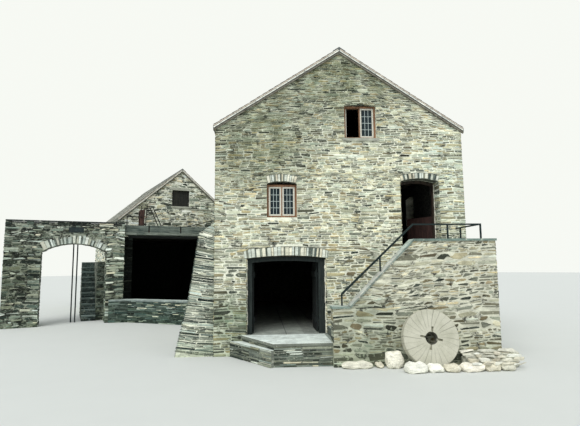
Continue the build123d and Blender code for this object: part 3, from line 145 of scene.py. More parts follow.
class Shader:
    """Node tree of one material, built from expressions."""

    def __init__(self, name: str) -> None:
        """Start a material with a Principled shader.

        Args:
            name: The material's name.
        """
        self.material = bpy.data.materials.new(name)
        self.material.use_nodes = True
        self.tree = self.material.node_tree
        self.tree.nodes.clear()
        self.bsdf = self.node("BsdfPrincipled")
        self.node("OutputMaterial", {"Surface": self.bsdf.outputs["BSDF"]})

    def node(self, kind: str, inputs: dict[Any, Any] | None = None, **settings: Any) -> bpy.types.Node:
        """Add a node.

        Args:
            kind: The node's type, without the word that all shader nodes begin with.
            inputs: Values or links of the sockets, by name or number.
            settings: Properties that are set first.

        Returns:
            The new node.
        """
        node = self.tree.nodes.new("ShaderNode" + kind)
        for key, value in settings.items():
            setattr(node, key, value)
        for key, value in (inputs or {}).items():
            source = value.out if isinstance(value, Socket) else value
            if isinstance(source, bpy.types.NodeSocket):
                self.tree.links.new(source, node.inputs[key])
            else:
                node.inputs[key].default_value = source
        return node

    def out(self, kind: str, inputs: dict[Any, Any], output: int | str = 0, **settings: Any) -> Socket:
        """Add a node and take one of its outputs.

        Args:
            kind: The node's type.
            inputs: Values or links of its sockets.
            output: The output, by name or number.
            settings: Properties that are set first.

        Returns:
            The output.
        """
        return Socket(self, self.node(kind, inputs, **settings).outputs[output])

    def maths(self, operation: str, *values: Value) -> Socket:
        """Math node on sockets and numbers."""
        return self.out("Math", dict(enumerate(values)), operation=operation)

    def coords(
        self, turn: float = 0.0, stretch: Sequence[float] = (1, 1, 1), tilt: float = 0.0,
        centre: Sequence[float] = (0, 0, 0),
    ) -> Socket:
        """Object coordinates about a centre, turned about Z and X, then stretched.

        Args:
            turn: Radians about Z.
            stretch: Factor on each axis after the turn.
            tilt: Radians about X.
            centre: Point that becomes the origin.

        Returns:
            The coordinates.
        """
        place = self.out("TexCoord", {}, "Object")
        moved = self.out("VectorMath", {0: place, 1: tuple(centre)}, operation="SUBTRACT")
        turned = self.out("Mapping", {"Vector": moved, "Rotation": (-tilt, 0.0, -turn)})
        return self.out("VectorMath", {0: turned, 1: tuple(stretch)}, operation="MULTIPLY")

    def parts(self, vector: Socket) -> tuple[Socket, ...]:
        """The three numbers of a vector."""
        return tuple(Socket(self, out) for out in self.node("SeparateXYZ", {0: vector}).outputs[:3])

    def level(self) -> Socket:
        """How far a face looks up, 1 where it is level."""
        return self.parts(self.out("NewGeometry", {}, "Normal"))[2]

    def noise(self, vector: Socket, scale: float, detail: float = 4.0, rough: float = 0.55) -> Socket:
        """Fractal noise from 0 to 1."""
        inputs = {"Vector": vector, "Scale": scale, "Detail": detail, "Roughness": rough}
        return self.out("TexNoise", inputs, "Fac")

    def cracks(self, vector: Socket, scale: float) -> Socket:
        """Distance to the nearest edge of a pattern of cells."""
        inputs = {"Vector": vector, "Scale": scale}
        return self.out("TexVoronoi", inputs, "Distance", feature="DISTANCE_TO_EDGE")

    def pick(self, number: Socket) -> Socket:
        """A random number from 0 to 1 for each value of a number."""
        return self.out("TexWhiteNoise", {"W": number}, "Value", noise_dimensions="1D")

    def from_middle(self, number: Socket) -> Socket:
        """Distance from the middle between two whole numbers, 0.5 at either of them."""
        return self.maths("ABSOLUTE", self.maths("FRACT", number) - 0.5)

    def attribute(self, name: str) -> Socket:
        """A number stored on the mesh."""
        return self.out("Attribute", {}, "Fac", attribute_name=name)

    def ramp(self, factor: Value, stops: Sequence[tuple[float, Colour]]) -> Socket:
        """Colour ramp over a factor.

        Args:
            factor: Number from 0 to 1.
            stops: Place and colour of each stop.

        Returns:
            The colour.
        """
        node = self.node("ValToRGB", {"Fac": factor})
        ramp = node.color_ramp.elements
        while len(ramp) < len(stops):
            ramp.new(0.5)
        for stop, (place, colour) in zip(ramp, stops):
            stop.position = place
            stop.color = (*colour, 1.0)
        return Socket(self, node.outputs["Color"])

    def step(self, value: Value, low: float, high: float) -> Socket:
        """Smooth step from 0 at low to 1 at high; low may be the larger."""
        inputs = {"Value": value, "From Min": low, "From Max": high}
        return self.out("MapRange", inputs, interpolation_type="SMOOTHSTEP")

    def mix(self, factor: Value, a: Any, b: Any, blend: str = "MIX") -> Socket:
        """Mix of two colours."""
        a, b = ((*c, 1.0) if isinstance(c, tuple) else c for c in (a, b))
        return self.out("Mix", {0: factor, 6: a, 7: b}, 2, data_type="RGBA", blend_type=blend)

    def tint(self, colour: Socket, other: Socket | Colour) -> Socket:
        """Product of two colours."""
        return self.mix(1.0, colour, other, "MULTIPLY")

    def shade(self, colour: Socket | Colour, factor: Value) -> Socket:
        """A colour times a number."""
        return self.out("VectorMath", {"Vector": colour, "Scale": factor}, operation="SCALE")

    def bump(self, height: Socket, strength: float, distance: float, under: Socket | None = None) -> Socket:
        """Bumped normal.

        Args:
            height: Height from 0 to 1.
            strength: Share of the bump.
            distance: Metres of relief.
            under: A normal to bump further.

        Returns:
            The normal.
        """
        inputs = {"Height": height, "Strength": strength, "Distance": distance}
        if under is not None:
            inputs["Normal"] = under
        return self.out("Bump", inputs)

    def finish(self, colour: Any, roughness: Value, gloss: float, normal: Socket | None = None) -> None:
        """Feed the Principled shader.

        Args:
            colour: Base colour.
            roughness: Roughness.
            gloss: Level of the mirror-like light.
            normal: Bumped normal.
        """
        self.feed("Base Color", colour)
        self.feed("Roughness", roughness)
        self.feed("Specular IOR Level", gloss)
        if normal is not None:
            self.feed("Normal", normal)

    def feed(self, key: str, value: Any) -> None:
        """Set or link one socket of the Principled shader.

        Args:
            key: The socket's name.
            value: A number, or an output to link.
        """
        if isinstance(value, Socket):
            self.tree.links.new(value.out, self.bsdf.inputs[key])
        else:
            self.bsdf.inputs[key].default_value = value


# Finishes
@dataclass(frozen=True)
class Finish:
    """A material that is built once, when a piece first needs it."""

    name: str

    def paint(self, sh: Shader) -> None:
        """Fill the shader."""
        raise NotImplementedError

    def material(self) -> bpy.types.Material:
        """The finished material.

        Returns:
            The material, the same one for every piece.
        """
        found = bpy.data.materials.get(self.name)
        if found is None:
            sh = Shader(self.name)
            self.paint(sh)
            found = sh.material
        return found


class Ageing(Enum):
    """How a patch of wall differs from the rest."""

    MOSSY = (0.37, 0.40, 0.33)
    DAMP = (0.26, 0.34, 0.27)
    LIMED = (1.18, 1.17, 1.14)
    WASHED = (1.07, 1.14, 1.20)
    BLEACHED = (1.50, 1.20, 1.20)


@dataclass(frozen=True)
class Spot:
    """Weathering about a point of the row."""

    centre: Triple
    radius: float
    strength: float
    ageing: Ageing = Ageing.MOSSY


def weathered(sh: Shader, colour: Socket, spots: Sequence[Spot], damp: float) -> Socket:
    """Age a colour with clouds of dirt, patches and a green foot.

    Args:
        sh: The shader.
        colour: The clean colour.
        spots: Patches that differ from the rest.
        damp: Height in metres up to which the wall is green and dark; 0 keeps it dry.

    Returns:
        The aged colour.
    """
    place = sh.coords()
    cloud = sh.noise(sh.coords(stretch=(1.0, 1.0, 2.6)), 3.1, 8.0, 0.74)
    colour = sh.shade(colour, sh.step(cloud, 0.30, 0.70) * 0.56 + 0.72)
    mottle = sh.noise(place, 2.6, 6.0, 0.7)
    for spot in spots:
        away = sh.out("VectorMath", {0: place, 1: spot.centre}, "Value", operation="DISTANCE")
        near = sh.step(away, spot.radius, spot.radius * 0.25)
        mask = near * (sh.step(mottle, 0.34, 0.60) * 0.6 + 0.4) * spot.strength
        colour = sh.mix(mask, colour, sh.tint(colour, spot.ageing.value))
    if damp <= 0.0:
        return colour
    height = sh.parts(place)[2]
    foot = sh.step(height + mottle * 0.9, damp + 0.45, 0.1)
    return sh.mix(foot * 0.7, colour, sh.tint(colour, (0.50, 0.60, 0.48)))


@dataclass(frozen=True)
class RubbleStone(Finish):
    """Split stones whose shade comes from each stone's own tone."""

    stops: tuple[tuple[float, Colour], ...] = (
        (0.0, (0.025, 0.036, 0.030)), (0.12, (0.10, 0.108, 0.080)), (0.30, (0.26, 0.265, 0.195)),
        (0.52, (0.42, 0.43, 0.31)), (0.78, (0.57, 0.59, 0.44)), (1.0, (0.82, 0.85, 0.70)),
    )
    lichen: Colour = (0.62, 0.65, 0.50)
    warm: float = 0.8
    spots: tuple[Spot, ...] = ()
    damp: float = 0.7

    def paint(self, sh: Shader) -> None:
        """Tone, hue, bedding lines, lichen and weather.

        Args:
            sh: The material's shader.
        """
        tone = sh.attribute("tone")
        hue = sh.pick(tone * 917.3)
        place = sh.coords()
        colour = sh.ramp(tone, self.stops)
        tint = sh.ramp(hue, (
            (0.0, (0.80, 0.92, 1.00)), (0.22, (0.92, 0.98, 1.02)), (0.50, (1.02, 1.0, 0.95)),
            (0.74, (1.10, 0.98, 0.80)), (0.88, (1.10, 0.90, 0.62)), (0.96, (0.98, 0.76, 0.52)),
            (1.0, (0.74, 0.56, 0.42)),
        ))
        colour = sh.mix(self.warm, colour, sh.tint(colour, tint))
        beds = sh.noise(sh.coords(stretch=(3.0, 3.0, 46.0)), 1.6, 5.0, 0.65)
        grain = sh.noise(place, 34.0, 5.0, 0.7)
        colour = sh.shade(colour, beds * 0.9 + grain * 0.8 + 0.15)
        lichen = sh.step(sh.noise(place, 17.0, 3.0), 0.60, 0.68) * 0.55
        colour = sh.mix(lichen, colour, self.lichen)
        colour = weathered(sh, colour, self.spots, self.damp)
        height = beds * 0.7 + grain * 0.4
        sh.finish(colour, grain * 0.15 + 0.80, 0.3, sh.bump(height, 0.55, 0.012))


@dataclass(frozen=True)
class ShadedRoom:
    """A box in which walls are bare and darkened with painted shade, on axes of its own."""

    centre: Triple
    low: Triple
    high: Triple
    turn: float = 0.0
    lean: float = 0.0

    def mask(self, sh: Shader) -> Socket:
        """One inside the box, nothing outside.

        Args:
            sh: The material's shader.

        Returns:
            The mask.
        """
        x, y, z = sh.parts(sh.coords(turn=self.turn, centre=self.centre))
        mask = sh.maths("ADD", 1.0, 0.0)
        for value, a, b in zip((x + y * self.lean, y, z), self.low, self.high):
            mask = mask * sh.step(value, a - 0.02, a) * sh.step(value, b + 0.02, b)
        return mask


@dataclass(frozen=True)
class LimeMortar(Finish):
    """Pointing between the stones, and the bare inside of the walls, darkened with painted shade."""

    pale: Colour = (0.83, 0.84, 0.69)
    raked: float = 0.42
    # Colour of the walls inside the rooms: painted shade of the dark inside
    inside: Colour = (0.085, 0.085, 0.075)
    spots: tuple[Spot, ...] = ()
    damp: float = 0.7
    shaded_rooms: tuple[ShadedRoom, ...] = ()

    def paint(self, sh: Shader) -> None:
        """Sandy mortar outside and rubble darkened with painted shade in the rooms.

        Args:
            sh: The material's shader.
        """
        place = sh.coords()
        sand = sh.noise(place, 60.0, 6.0, 0.75)
        lumps = sh.noise(place, 9.0, 4.0)
        level = sh.level()
        # Dark gaps where the mortar is raked out, at a tenth of its colour: partly dirt, partly painted shade
        # in the hollow joints
        dirt_and_shade_gaps = sh.step(sh.noise(place, 3.4, 7.0, 0.78), self.raked + 0.05, self.raked - 0.05)
        dirt_and_shade_gaps = dirt_and_shade_gaps * sh.step(level, 0.75, 0.35)
        colour = sh.mix(dirt_and_shade_gaps, self.pale, tuple(c * 0.10 for c in self.pale))
        bed = sh.step(sh.cracks(place, 6.0), 0.02, 0.10) * sh.step(level, 0.35, 0.75)
        colour = sh.shade(sh.mix(bed * 0.6, colour, (0.10, 0.11, 0.085)), sand * 0.6 + 0.66)
        colour = weathered(sh, colour, self.spots, self.damp)
        # Inside each room the walls get a dark rubble colour: painted shade
        for room in self.shaded_rooms:
            stone = sh.cracks(sh.coords(stretch=(1.0, 1.0, 2.6)), 4.2)
            shaded_rubble = sh.mix(sh.step(stone, 0.02, 0.12), self.inside, tuple(c * 0.55 for c in self.inside))
            colour = sh.mix(room.mask(sh), colour, sh.shade(shaded_rubble, lumps * 1.2 + 0.4))
        normal = sh.bump(lumps, 0.6, 0.02, sh.bump(sand, 0.5, 0.006))
        sh.finish(colour, 0.92, 0.2, normal)


@dataclass(frozen=True)
class SlateSlab(Finish):
    """Thick split slabs of coping, steps and sills."""

    top: Colour = (0.36, 0.42, 0.36)
    edge: Colour = (0.16, 0.20, 0.17)
    turn: float = 0.0
    length: float = 0.0
    damp: float = 0.3
    contrast: float = 1.0
    lichen: Colour = (0.58, 0.60, 0.48)
    spots: tuple[Spot, ...] = ()

    def paint(self, sh: Shader) -> None:
        """Cleft surface, bedding on the edges, and joints along the run.

        Args:
            sh: The material's shader.
        """
        place = sh.coords(turn=self.turn)
        cleft = sh.noise(place, 5.0, 7.0, 0.62)
        grain = sh.noise(place, 48.0, 5.0, 0.7)
        beds = sh.noise(sh.coords(turn=self.turn, stretch=(2.0, 2.0, 90.0)), 1.2, 3.0, 0.6)
        flat = sh.step(sh.level(), 0.35, 0.75)
        colour = sh.mix(flat, self.edge, self.top)
        colour = sh.shade(colour, (cleft * 0.75 + grain * 0.35 - 0.55) * self.contrast + 1.0)
        colour = sh.shade(colour, sh.mix(flat, sh.shade(beds, 1.1), (0.9, 0.9, 0.9)))
        lichen = sh.step(sh.noise(place, 11.0, 3.0), 0.60, 0.68) * 0.5
        colour = sh.mix(lichen, colour, self.lichen)
        if self.length:
            x = sh.parts(place)[0] / self.length
            colour = sh.mix(sh.step(sh.from_middle(x), 0.488, 0.497), colour, (0.03, 0.035, 0.03))
            colour = sh.shade(colour, sh.pick(sh.maths("FLOOR", x + 0.5)) * 0.3 + 0.85)
        colour = weathered(sh, colour, self.spots, self.damp)
        normal = sh.bump(cleft, 0.5, 0.016, sh.bump(beds, 0.35, 0.008))
        sh.finish(colour, grain * 0.2 + 0.62, 0.35, normal)


@dataclass(frozen=True)
class RoofSlate(Finish):
    """Thin slates, each with its own tone, mossy towards the eaves."""

    pale: Colour = (0.25, 0.26, 0.22)
    dark: Colour = (0.095, 0.105, 0.10)
    moss_from: float = 5.9

    def paint(self, sh: Shader) -> None:
        """Tone of each slate, streaks, lichen and moss.

        Args:
            sh: The material's shader.
        """
        tone = sh.attribute("tone")
        place = sh.coords()
        colour = sh.mix(tone, self.dark, self.pale)
        fine = sh.noise(place, 22.0, 6.0, 0.7)
        colour = sh.shade(colour, fine * 0.7 + 0.65)
        lichen = sh.step(sh.noise(place, 6.0, 5.0, 0.7), 0.55, 0.68)
        colour = sh.mix(lichen * 0.5, colour, (0.46, 0.46, 0.36))
        low = sh.step(sh.parts(place)[2], self.moss_from, self.moss_from - 1.2)
        moss = low * sh.step(sh.noise(place, 3.0, 6.0, 0.7), 0.46, 0.60)
        colour = sh.mix(moss * 0.75, colour, (0.085, 0.105, 0.035))
        sh.finish(colour, fine * 0.2 + 0.55, 0.4, sh.bump(fine, 0.4, 0.004))


class Grain(Enum):
    """Way the grain of timber runs."""

    X = (0.06, 1.0, 1.0)
    Y = (1.0, 0.06, 1.0)
    Z = (1.0, 1.0, 0.06)


@dataclass(frozen=True)
class Timber(Finish):
    """Sawn timber with grain, cracks and, where wanted, separate boards."""

    pale: Colour = (0.30, 0.29, 0.24)
    dark: Colour = (0.07, 0.07, 0.055)
    grain: Grain = Grain.Z
    turn: float = 0.0
    board: float = 0.0
    across: int = 0
    rough: float = 0.78
    gap: Colour = (0.012, 0.012, 0.01)

    def paint(self, sh: Shader) -> None:
        """Grain, board joints and worn streaks.

        Args:
            sh: The material's shader.
        """
        run = sh.coords(turn=self.turn, stretch=self.grain.value)
        streak = sh.noise(run, 38.0, 6.0, 0.68)
        crack = sh.step(sh.noise(run, 15.0, 8.0, 0.75), 0.36, 0.44)
        blotch = sh.noise(sh.coords(turn=self.turn), 4.5, 4.0)
        colour = sh.mix(sh.step(streak, 0.30, 0.72), self.dark, self.pale)
        colour = sh.shade(colour, blotch * 0.9 + 0.52)
        colour = sh.shade(colour, crack * 0.55 + 0.45)
        normal = sh.bump(streak, 0.5, 0.004)
        if self.board:
            x = sh.parts(sh.coords(turn=self.turn))[self.across] / self.board
            gap = sh.step(sh.from_middle(x), 0.468, 0.492)
            colour = sh.shade(colour, sh.pick(sh.maths("FLOOR", x)) * 0.55 + 0.72)
            colour = sh.mix(gap, colour, self.gap)
            normal = sh.bump(1.0 - gap, 0.7, 0.01, normal)
        sh.finish(colour, self.rough, 0.3, normal)


@dataclass(frozen=True)
class OilPaint(Finish):
    """Brushed paint on joinery, chipped to the wood in places."""

    paint_colour: Colour = (0.78, 0.78, 0.70)
    wood: Colour = (0.30, 0.19, 0.10)
    wear: float = 0.62

    def paint(self, sh: Shader) -> None:
        """Brush marks, patches of dirt and chips.

        Args:
            sh: The material's shader.
        """
        place = sh.coords()
        brush = sh.noise(sh.coords(stretch=(1.0, 1.0, 0.15)), 60.0, 4.0)
        dirt = sh.noise(place, 7.0, 5.0, 0.65)
        colour = sh.shade(self.paint_colour, brush * 0.2 + dirt * 0.35 + 0.68)
        chip = sh.step(sh.noise(place, 26.0, 6.0, 0.75), self.wear, self.wear + 0.05)
        colour = sh.mix(chip, colour, self.wood)
        sh.finish(colour, chip * 0.4 + 0.42, 0.4, sh.bump(brush, 0.25, 0.002))


@dataclass(frozen=True)
class Ironwork(Finish):
    """Dark painted wrought iron with rust breaking through."""

    paint_colour: Colour = (0.008, 0.018, 0.018)
    rust: Colour = (0.10, 0.045, 0.022)
    spread: float = 0.60

    def paint(self, sh: Shader) -> None:
        """Hammered paint and rust spots.

        Args:
            sh: The material's shader.
        """
        place = sh.coords()
        hammer = sh.noise(place, 42.0, 3.0)
        spots = sh.step(sh.noise(place, 12.0, 7.0, 0.75), self.spread, self.spread + 0.08)
        colour = sh.mix(spots, sh.shade(self.paint_colour, hammer * 0.9 + 0.6), self.rust)
        sh.finish(colour, spots * 0.3 + 0.55, 0.2, sh.bump(hammer, 0.35, 0.002))


@dataclass(frozen=True)
class WindowGlass(Finish):
    """Old window glass, near black: painted shade of the dark room behind it."""

    # Near-black glass colour: painted shade of the room behind
    tint: Colour = (0.004, 0.014, 0.019)

    def paint(self, sh: Shader) -> None:
        """Dark gloss, painted shade of the room behind, with slow waves and dust.

        Args:
            sh: The material's shader.
        """
        place = sh.coords()
        wave = sh.noise(place, 3.0, 2.0)
        dust = sh.step(sh.noise(place, 9.0, 5.0), 0.42, 0.75)
        colour = sh.mix(dust * 0.12, self.tint, (0.10, 0.14, 0.14))
        sh.finish(colour, dust * 0.2 + 0.06, 0.22, sh.bump(wave, 0.25, 0.02))


@dataclass(frozen=True)
class MillstoneGranite(Finish):
    """Pale granite with radial furrows, measured from the stone's centre."""

    centre: Triple = (0.0, 0.0, 0.0)
    tilt: float = 0.0
    furrows: int = 26
    eye: float = 0.136

    def paint(self, sh: Shader) -> None:
        """Speckle, dressed furrows, worn rim, stains and painted shade in the eye.

        Args:
            sh: The material's shader.
        """
        place = sh.coords(tilt=self.tilt, centre=self.centre)
        x, _, z = sh.parts(place)
        radius = sh.maths("SQRT", x * x + z * z)
        turn = sh.maths("ARCTAN2", z, x) / math.tau
        count = turn * float(self.furrows) + sh.noise(place, 5.0, 3.0) * 0.35 + radius * 1.1
        kept = sh.pick(sh.maths("FLOOR", count))
        furrow = sh.step(sh.from_middle(count), 0.07, 0.02)
        furrow = furrow * sh.step(radius, 0.19, 0.25) * (kept * 0.75 + 0.25)
        grain = sh.noise(place, 95.0, 4.0, 0.8)
        pock = sh.step(sh.noise(place, 30.0, 4.0, 0.7), 0.60, 0.68)
        stain = sh.noise(place, 3.4, 5.0, 0.65)
        colour = sh.mix(sh.step(stain, 0.35, 0.7), (0.55, 0.54, 0.44), (0.45, 0.445, 0.35))
        colour = sh.shade(colour, grain * 0.7 + 0.62)
        colour = sh.mix(furrow * 0.75, colour, (0.20, 0.20, 0.155))
        colour = sh.mix(pock * 0.4, colour, (0.30, 0.30, 0.25))
        # Painted shade in the eye: its rim and hole darkened to a fifth
        eye_shade = sh.step(radius, self.eye + 0.003, self.eye - 0.001)
        colour = sh.shade(colour, 1.0 - eye_shade * 0.8)
        rim = sh.step(radius, 0.60, 0.645)
        colour = sh.mix(rim * 0.35, colour, (0.38, 0.37, 0.28))
        height = (1.0 - furrow) * 0.8 + grain * 0.15 - pock * 0.2
        sh.finish(colour, 0.88, 0.25, sh.bump(height, 0.7, 0.012))


@dataclass(frozen=True)
class Plain(Finish):
    """Pale floor of the studio."""

    colour: Colour = (0.62, 0.64, 0.61)

    def paint(self, sh: Shader) -> None:
        """Matt, with a trace of mottling."""
        fine = sh.noise(sh.coords(), 1.2, 3.0)
        sh.finish(sh.shade(self.colour, fine * 0.04 + 0.98), 0.95, 0.5)


# Stone by stone
@dataclass(frozen=True)
class Void:
    """A place on a wall that takes no stones, with or without an arch over it."""

    left: float
    right: float
    foot: float
    spring: float
    rise: float = 0.0
    ring: float = 0.0
    seat: float = 0.0

    def circle(self) -> Triple:
        """Circle of the arch's underside.

        Returns:
            Half width of the opening, radius, and height of the centre.
        """
        half = (self.right - self.left) / 2
        radius = (half * half + self.rise * self.rise) / (2 * self.rise)
        return half, radius, self.spring + self.rise - radius

    def reach(self) -> float:
        """Angle from the crown to the ring's end."""
        half, radius, _ = self.circle()
        return math.asin((half + self.seat) / (radius + self.ring))

    def span(self, z: float) -> Point | None:
        """Stretch that is kept bare at a height.

        Args:
            z: The height.

        Returns:
            Left and right ends, or None where the wall is whole.
        """
        if z < self.foot:
            return None
        width = (self.right - self.left) / 2 if z <= self.spring else 0.0
        if self.rise:
            _, radius, centre = self.circle()
            outer = radius + self.ring
            up = z - centre
            if z > centre + radius * math.cos(self.reach()) and up < outer:
                edge = math.sqrt(outer * outer - up * up)
                width = max(width, min(edge, up * math.tan(self.reach())))
        middle = (self.left + self.right) / 2
        return (middle - width, middle + width) if width else None


@dataclass(frozen=True)
class Coursing:
    """Sizes of the stones of one kind of wall."""

    heights: tuple[tuple[float, float, float], ...]
    ratio: Point
    shortest: float = 0.09
    longest: float = 0.50
    joint: float = 0.010
    rough: float = 0.22
    chamfer: float = 0.28
    wander: float = 0.016
    proud: tuple[float, ...] = (0.006, 0.010, 0.014)
    rake: float = 0.0
    split: float = 0.35
    tones: Point = (0.0, 1.0)


THIN = Coursing(((0.028, 0.046, 5), (0.046, 0.070, 4), (0.070, 0.100, 1)), (2.0, 5.5))
FLANK = Coursing(((0.040, 0.065, 3), (0.065, 0.100, 4), (0.100, 0.140, 1)), (2.2, 5.5), rough=0.26)
BEDDED = Coursing(
    ((0.034, 0.056, 3), (0.056, 0.090, 4), (0.090, 0.130, 2)), (1.9, 4.6), joint=0.017, rough=0.32,
    chamfer=0.36, proud=(0.006, 0.013, 0.021), tones=(0.0, 0.84),
)
CHUNKY = Coursing(
    ((0.042, 0.070, 3), (0.070, 0.115, 5), (0.115, 0.180, 3)), (1.5, 3.6), joint=0.018, rough=0.32,
    chamfer=0.40, wander=0.024,
)
ROUGH = Coursing(
    ((0.045, 0.080, 3), (0.080, 0.130, 4), (0.130, 0.180, 1)), (1.5, 4.2),
    joint=0.017, rough=0.34, chamfer=0.38, wander=0.028, proud=(0.008, 0.013, 0.018),
)
RAKED = Coursing(
    ((0.022, 0.036, 5), (0.036, 0.058, 3)), (4.0, 12.0), longest=0.85, joint=0.010, rough=0.26,
    proud=(0.004, 0.012, 0.020), rake=-0.13, wander=0.022,
)
LAID_SLABS = Coursing(
    ((0.030, 0.055, 3), (0.055, 0.085, 1)), (4.0, 10.0), longest=0.9, joint=0.009, rough=0.25,
    proud=(0.004, 0.012, 0.022), wander=0.010,
)
FLAT_STONES = Coursing(
    ((0.09, 0.15, 2), (0.15, 0.22, 1)), (1.0, 2.2), joint=0.024, rough=0.35, chamfer=0.42,
    wander=0.03, proud=(0.010, 0.022, 0.034), split=0.1,
)
SLIPS = Coursing(
    ((0.030, 0.045, 1),), (5.0, 11.0), longest=0.5, joint=0.003, rough=0.08, chamfer=0.0,
    wander=0.0, proud=(0.004, 0.006), split=0.0,
)


@dataclass(frozen=True)
class Voussoirs:
    """Sizes and tones of an arch's upright stones, pale wide ones among dark thin ones.

    pale_next holds the chance of a pale stone after a dark and after a pale one.
    """

    width: Point
    proud: float = 0.012
    ragged: float = 0.10
    joint: float = 0.005
    uneven: float = 0.012
    bevel: float = 0.004
    narrower: float = 0.5
    pale: Point = (0.62, 1.0)
    dark: Point = (0.0, 0.36)
    pale_next: Point = (0.85, 0.45)
    longest_last: float = 1.4


@dataclass(frozen=True)
class Slating:
    """Sizes of a roof's slates."""

    row: float
    width: Point
    bare_foot: float
    bare_top: float
    thick: float = 0.007
    bevel: float = 0.0015
    gap: float = 0.002
    lap: float = 0.012
    ragged: float = 0.008
    lift: Point = (0.010, 0.016)
    sunk: float = 0.002
    least_row: float = 0.02
    least_width: float = 0.03


MILL_SLATES = Slating(0.19, (0.20, 0.34), bare_foot=0.02, bare_top=0.06)
WING_SLATES = Slating(0.21, (0.22, 0.38), bare_foot=0.03, bare_top=0.07)


@dataclass(frozen=True)
class Course:
    """A stretch of a course between two heights, with its ends at either of them."""

    low: float
    high: float
    foot: Point
    head: Point

    def split(self, share: float) -> tuple["Course", "Course"]:
        """Two thinner courses, the lower one first.

        Args:
            share: Share of the height at which they meet.

        Returns:
            The two courses.
        """
        bed = self.low + (self.high - self.low) * share
        left, right = (a + (b - a) * share for a, b in zip(self.foot, self.head))
        middle = (left, right)
        return Course(self.low, bed, self.foot, middle), Course(bed, self.high, middle, self.head)

    def ends(self, t0: float, t1: float, joint: float) -> tuple[Point, Point]:
        """Ends of one stone, at its foot and at its head.

        Args:
            t0: Share of the course at which it starts.
            t1: Share at which it ends.
            joint: Width that is left free at a joint.

        Returns:
            Left and right end at the foot, and at the head.
        """
        left, right = (0.0 if t0 == 0.0 else joint), (0.0 if t1 == 1.0 else joint)
        foot, head = ((a + (b - a) * t0 + left, a + (b - a) * t1 - right) for a, b in (self.foot, self.head))
        return foot, head


def oblong(right: float, top: float, foot: float = 0.0, left: float = 0.0) -> list[Point]:
    """Rectangular outline."""
    return [(left, foot), (right, foot), (right, top), (left, top)]


def mirrored(outline: Sequence[Point]) -> list[Point]:
    """Outline as seen from behind."""
    return [(-u, v) for u, v in outline]


@dataclass
class Patch:
    """A flat stretch of wall, with its outline in metres along and up."""

    origin: Vector
    along: Vector
    outline: Sequence[Point]
    voids: Sequence[Void] = ()
    up: Vector = field(default_factory=lambda: UP.copy())
    wrap: Point = BOTH_ENDS

    def at(self, u: float, v: float, depth: float = 0.0) -> Vector:
        """Point on the patch.

        Args:
            u: Metres along.
            v: Metres up.
            depth: Metres out from the wall.

        Returns:
            The point in the row's frame.
        """
        return self.origin + self.along * u + self.up * v + self.along.cross(self.up) * depth

    def span(self, v: float) -> Point | None:
        """Ends of the outline at a height.

        Args:
            v: The height.

        Returns:
            Left and right end, or None above and below the outline.
        """
        ends = list(self.outline)
        hits = [
            u0 + (u1 - u0) * (v - v0) / (v1 - v0)
            for (u0, v0), (u1, v1) in zip(ends, ends[1:] + ends[:1]) if (v0 <= v) != (v1 <= v)
        ]
        return (min(hits) - self.wrap[0], max(hits) + self.wrap[1]) if len(hits) > 1 else None

    def free(self, v: float) -> list[Point]:
        """Stretches that take stones at a height.

        Args:
            v: The height.

        Returns:
            Left and right end of each.
        """
        whole = self.span(v)
        if whole is None:
            return []
        spans = [whole]
        for void in self.voids:
            bare = void.span(v)
            if bare is None:
                continue
            kept = []
            for a, b in spans:
                if bare[0] > a:
                    kept.append((a, min(b, bare[0])))
                if bare[1] < b:
                    kept.append((max(a, bare[1]), b))
            spans = [(a, b) for a, b in kept if b > a]
        return sorted(spans)

    def courses(self, low: float, high: float) -> list[Course]:
        """Stretches that take stones between two heights.

        Args:
            low: Height of the foot.
            high: Height of the top.

        Returns:
            The stretches, from left to right.
        """
        edge = (high - low) * 0.02
        foot, middle, top = self.free(low + edge), self.free((low + high) / 2), self.free(high - edge)
        if len(foot) == len(middle) == len(top):
            return [Course(low, high, a, b) for a, b in zip(foot, top)]
        if not foot or not top:
            return []
        shared = foot
        for other in (middle, top):
            shared = [
                (max(a, c), min(b, d)) for a, b in shared for c, d in other if min(b, d) > max(a, c)
            ]
        return [Course(low, high, s, s) for s in shared]

    def rise(self) -> Point:
        """Lowest and highest point of the outline."""
        heights = [v for _, v in self.outline]
        return min(heights), max(heights)

    def clear(self, u: float, v: float) -> float:
        """How far a point is from the edges that a course must keep to.

        Args:
            u: Metres along.
            v: Metres up.

        Returns:
            The distance.
        """
        low, high = self.rise()
        near = min(v - low, high - v)
        for void in self.voids:
            top = void.spring + void.rise + void.ring
            across = max(void.left - void.seat - u, u - void.right - void.seat, 0.0)
            near = min(near, math.hypot(across, max(void.foot - v, v - top, 0.0)))
        return near


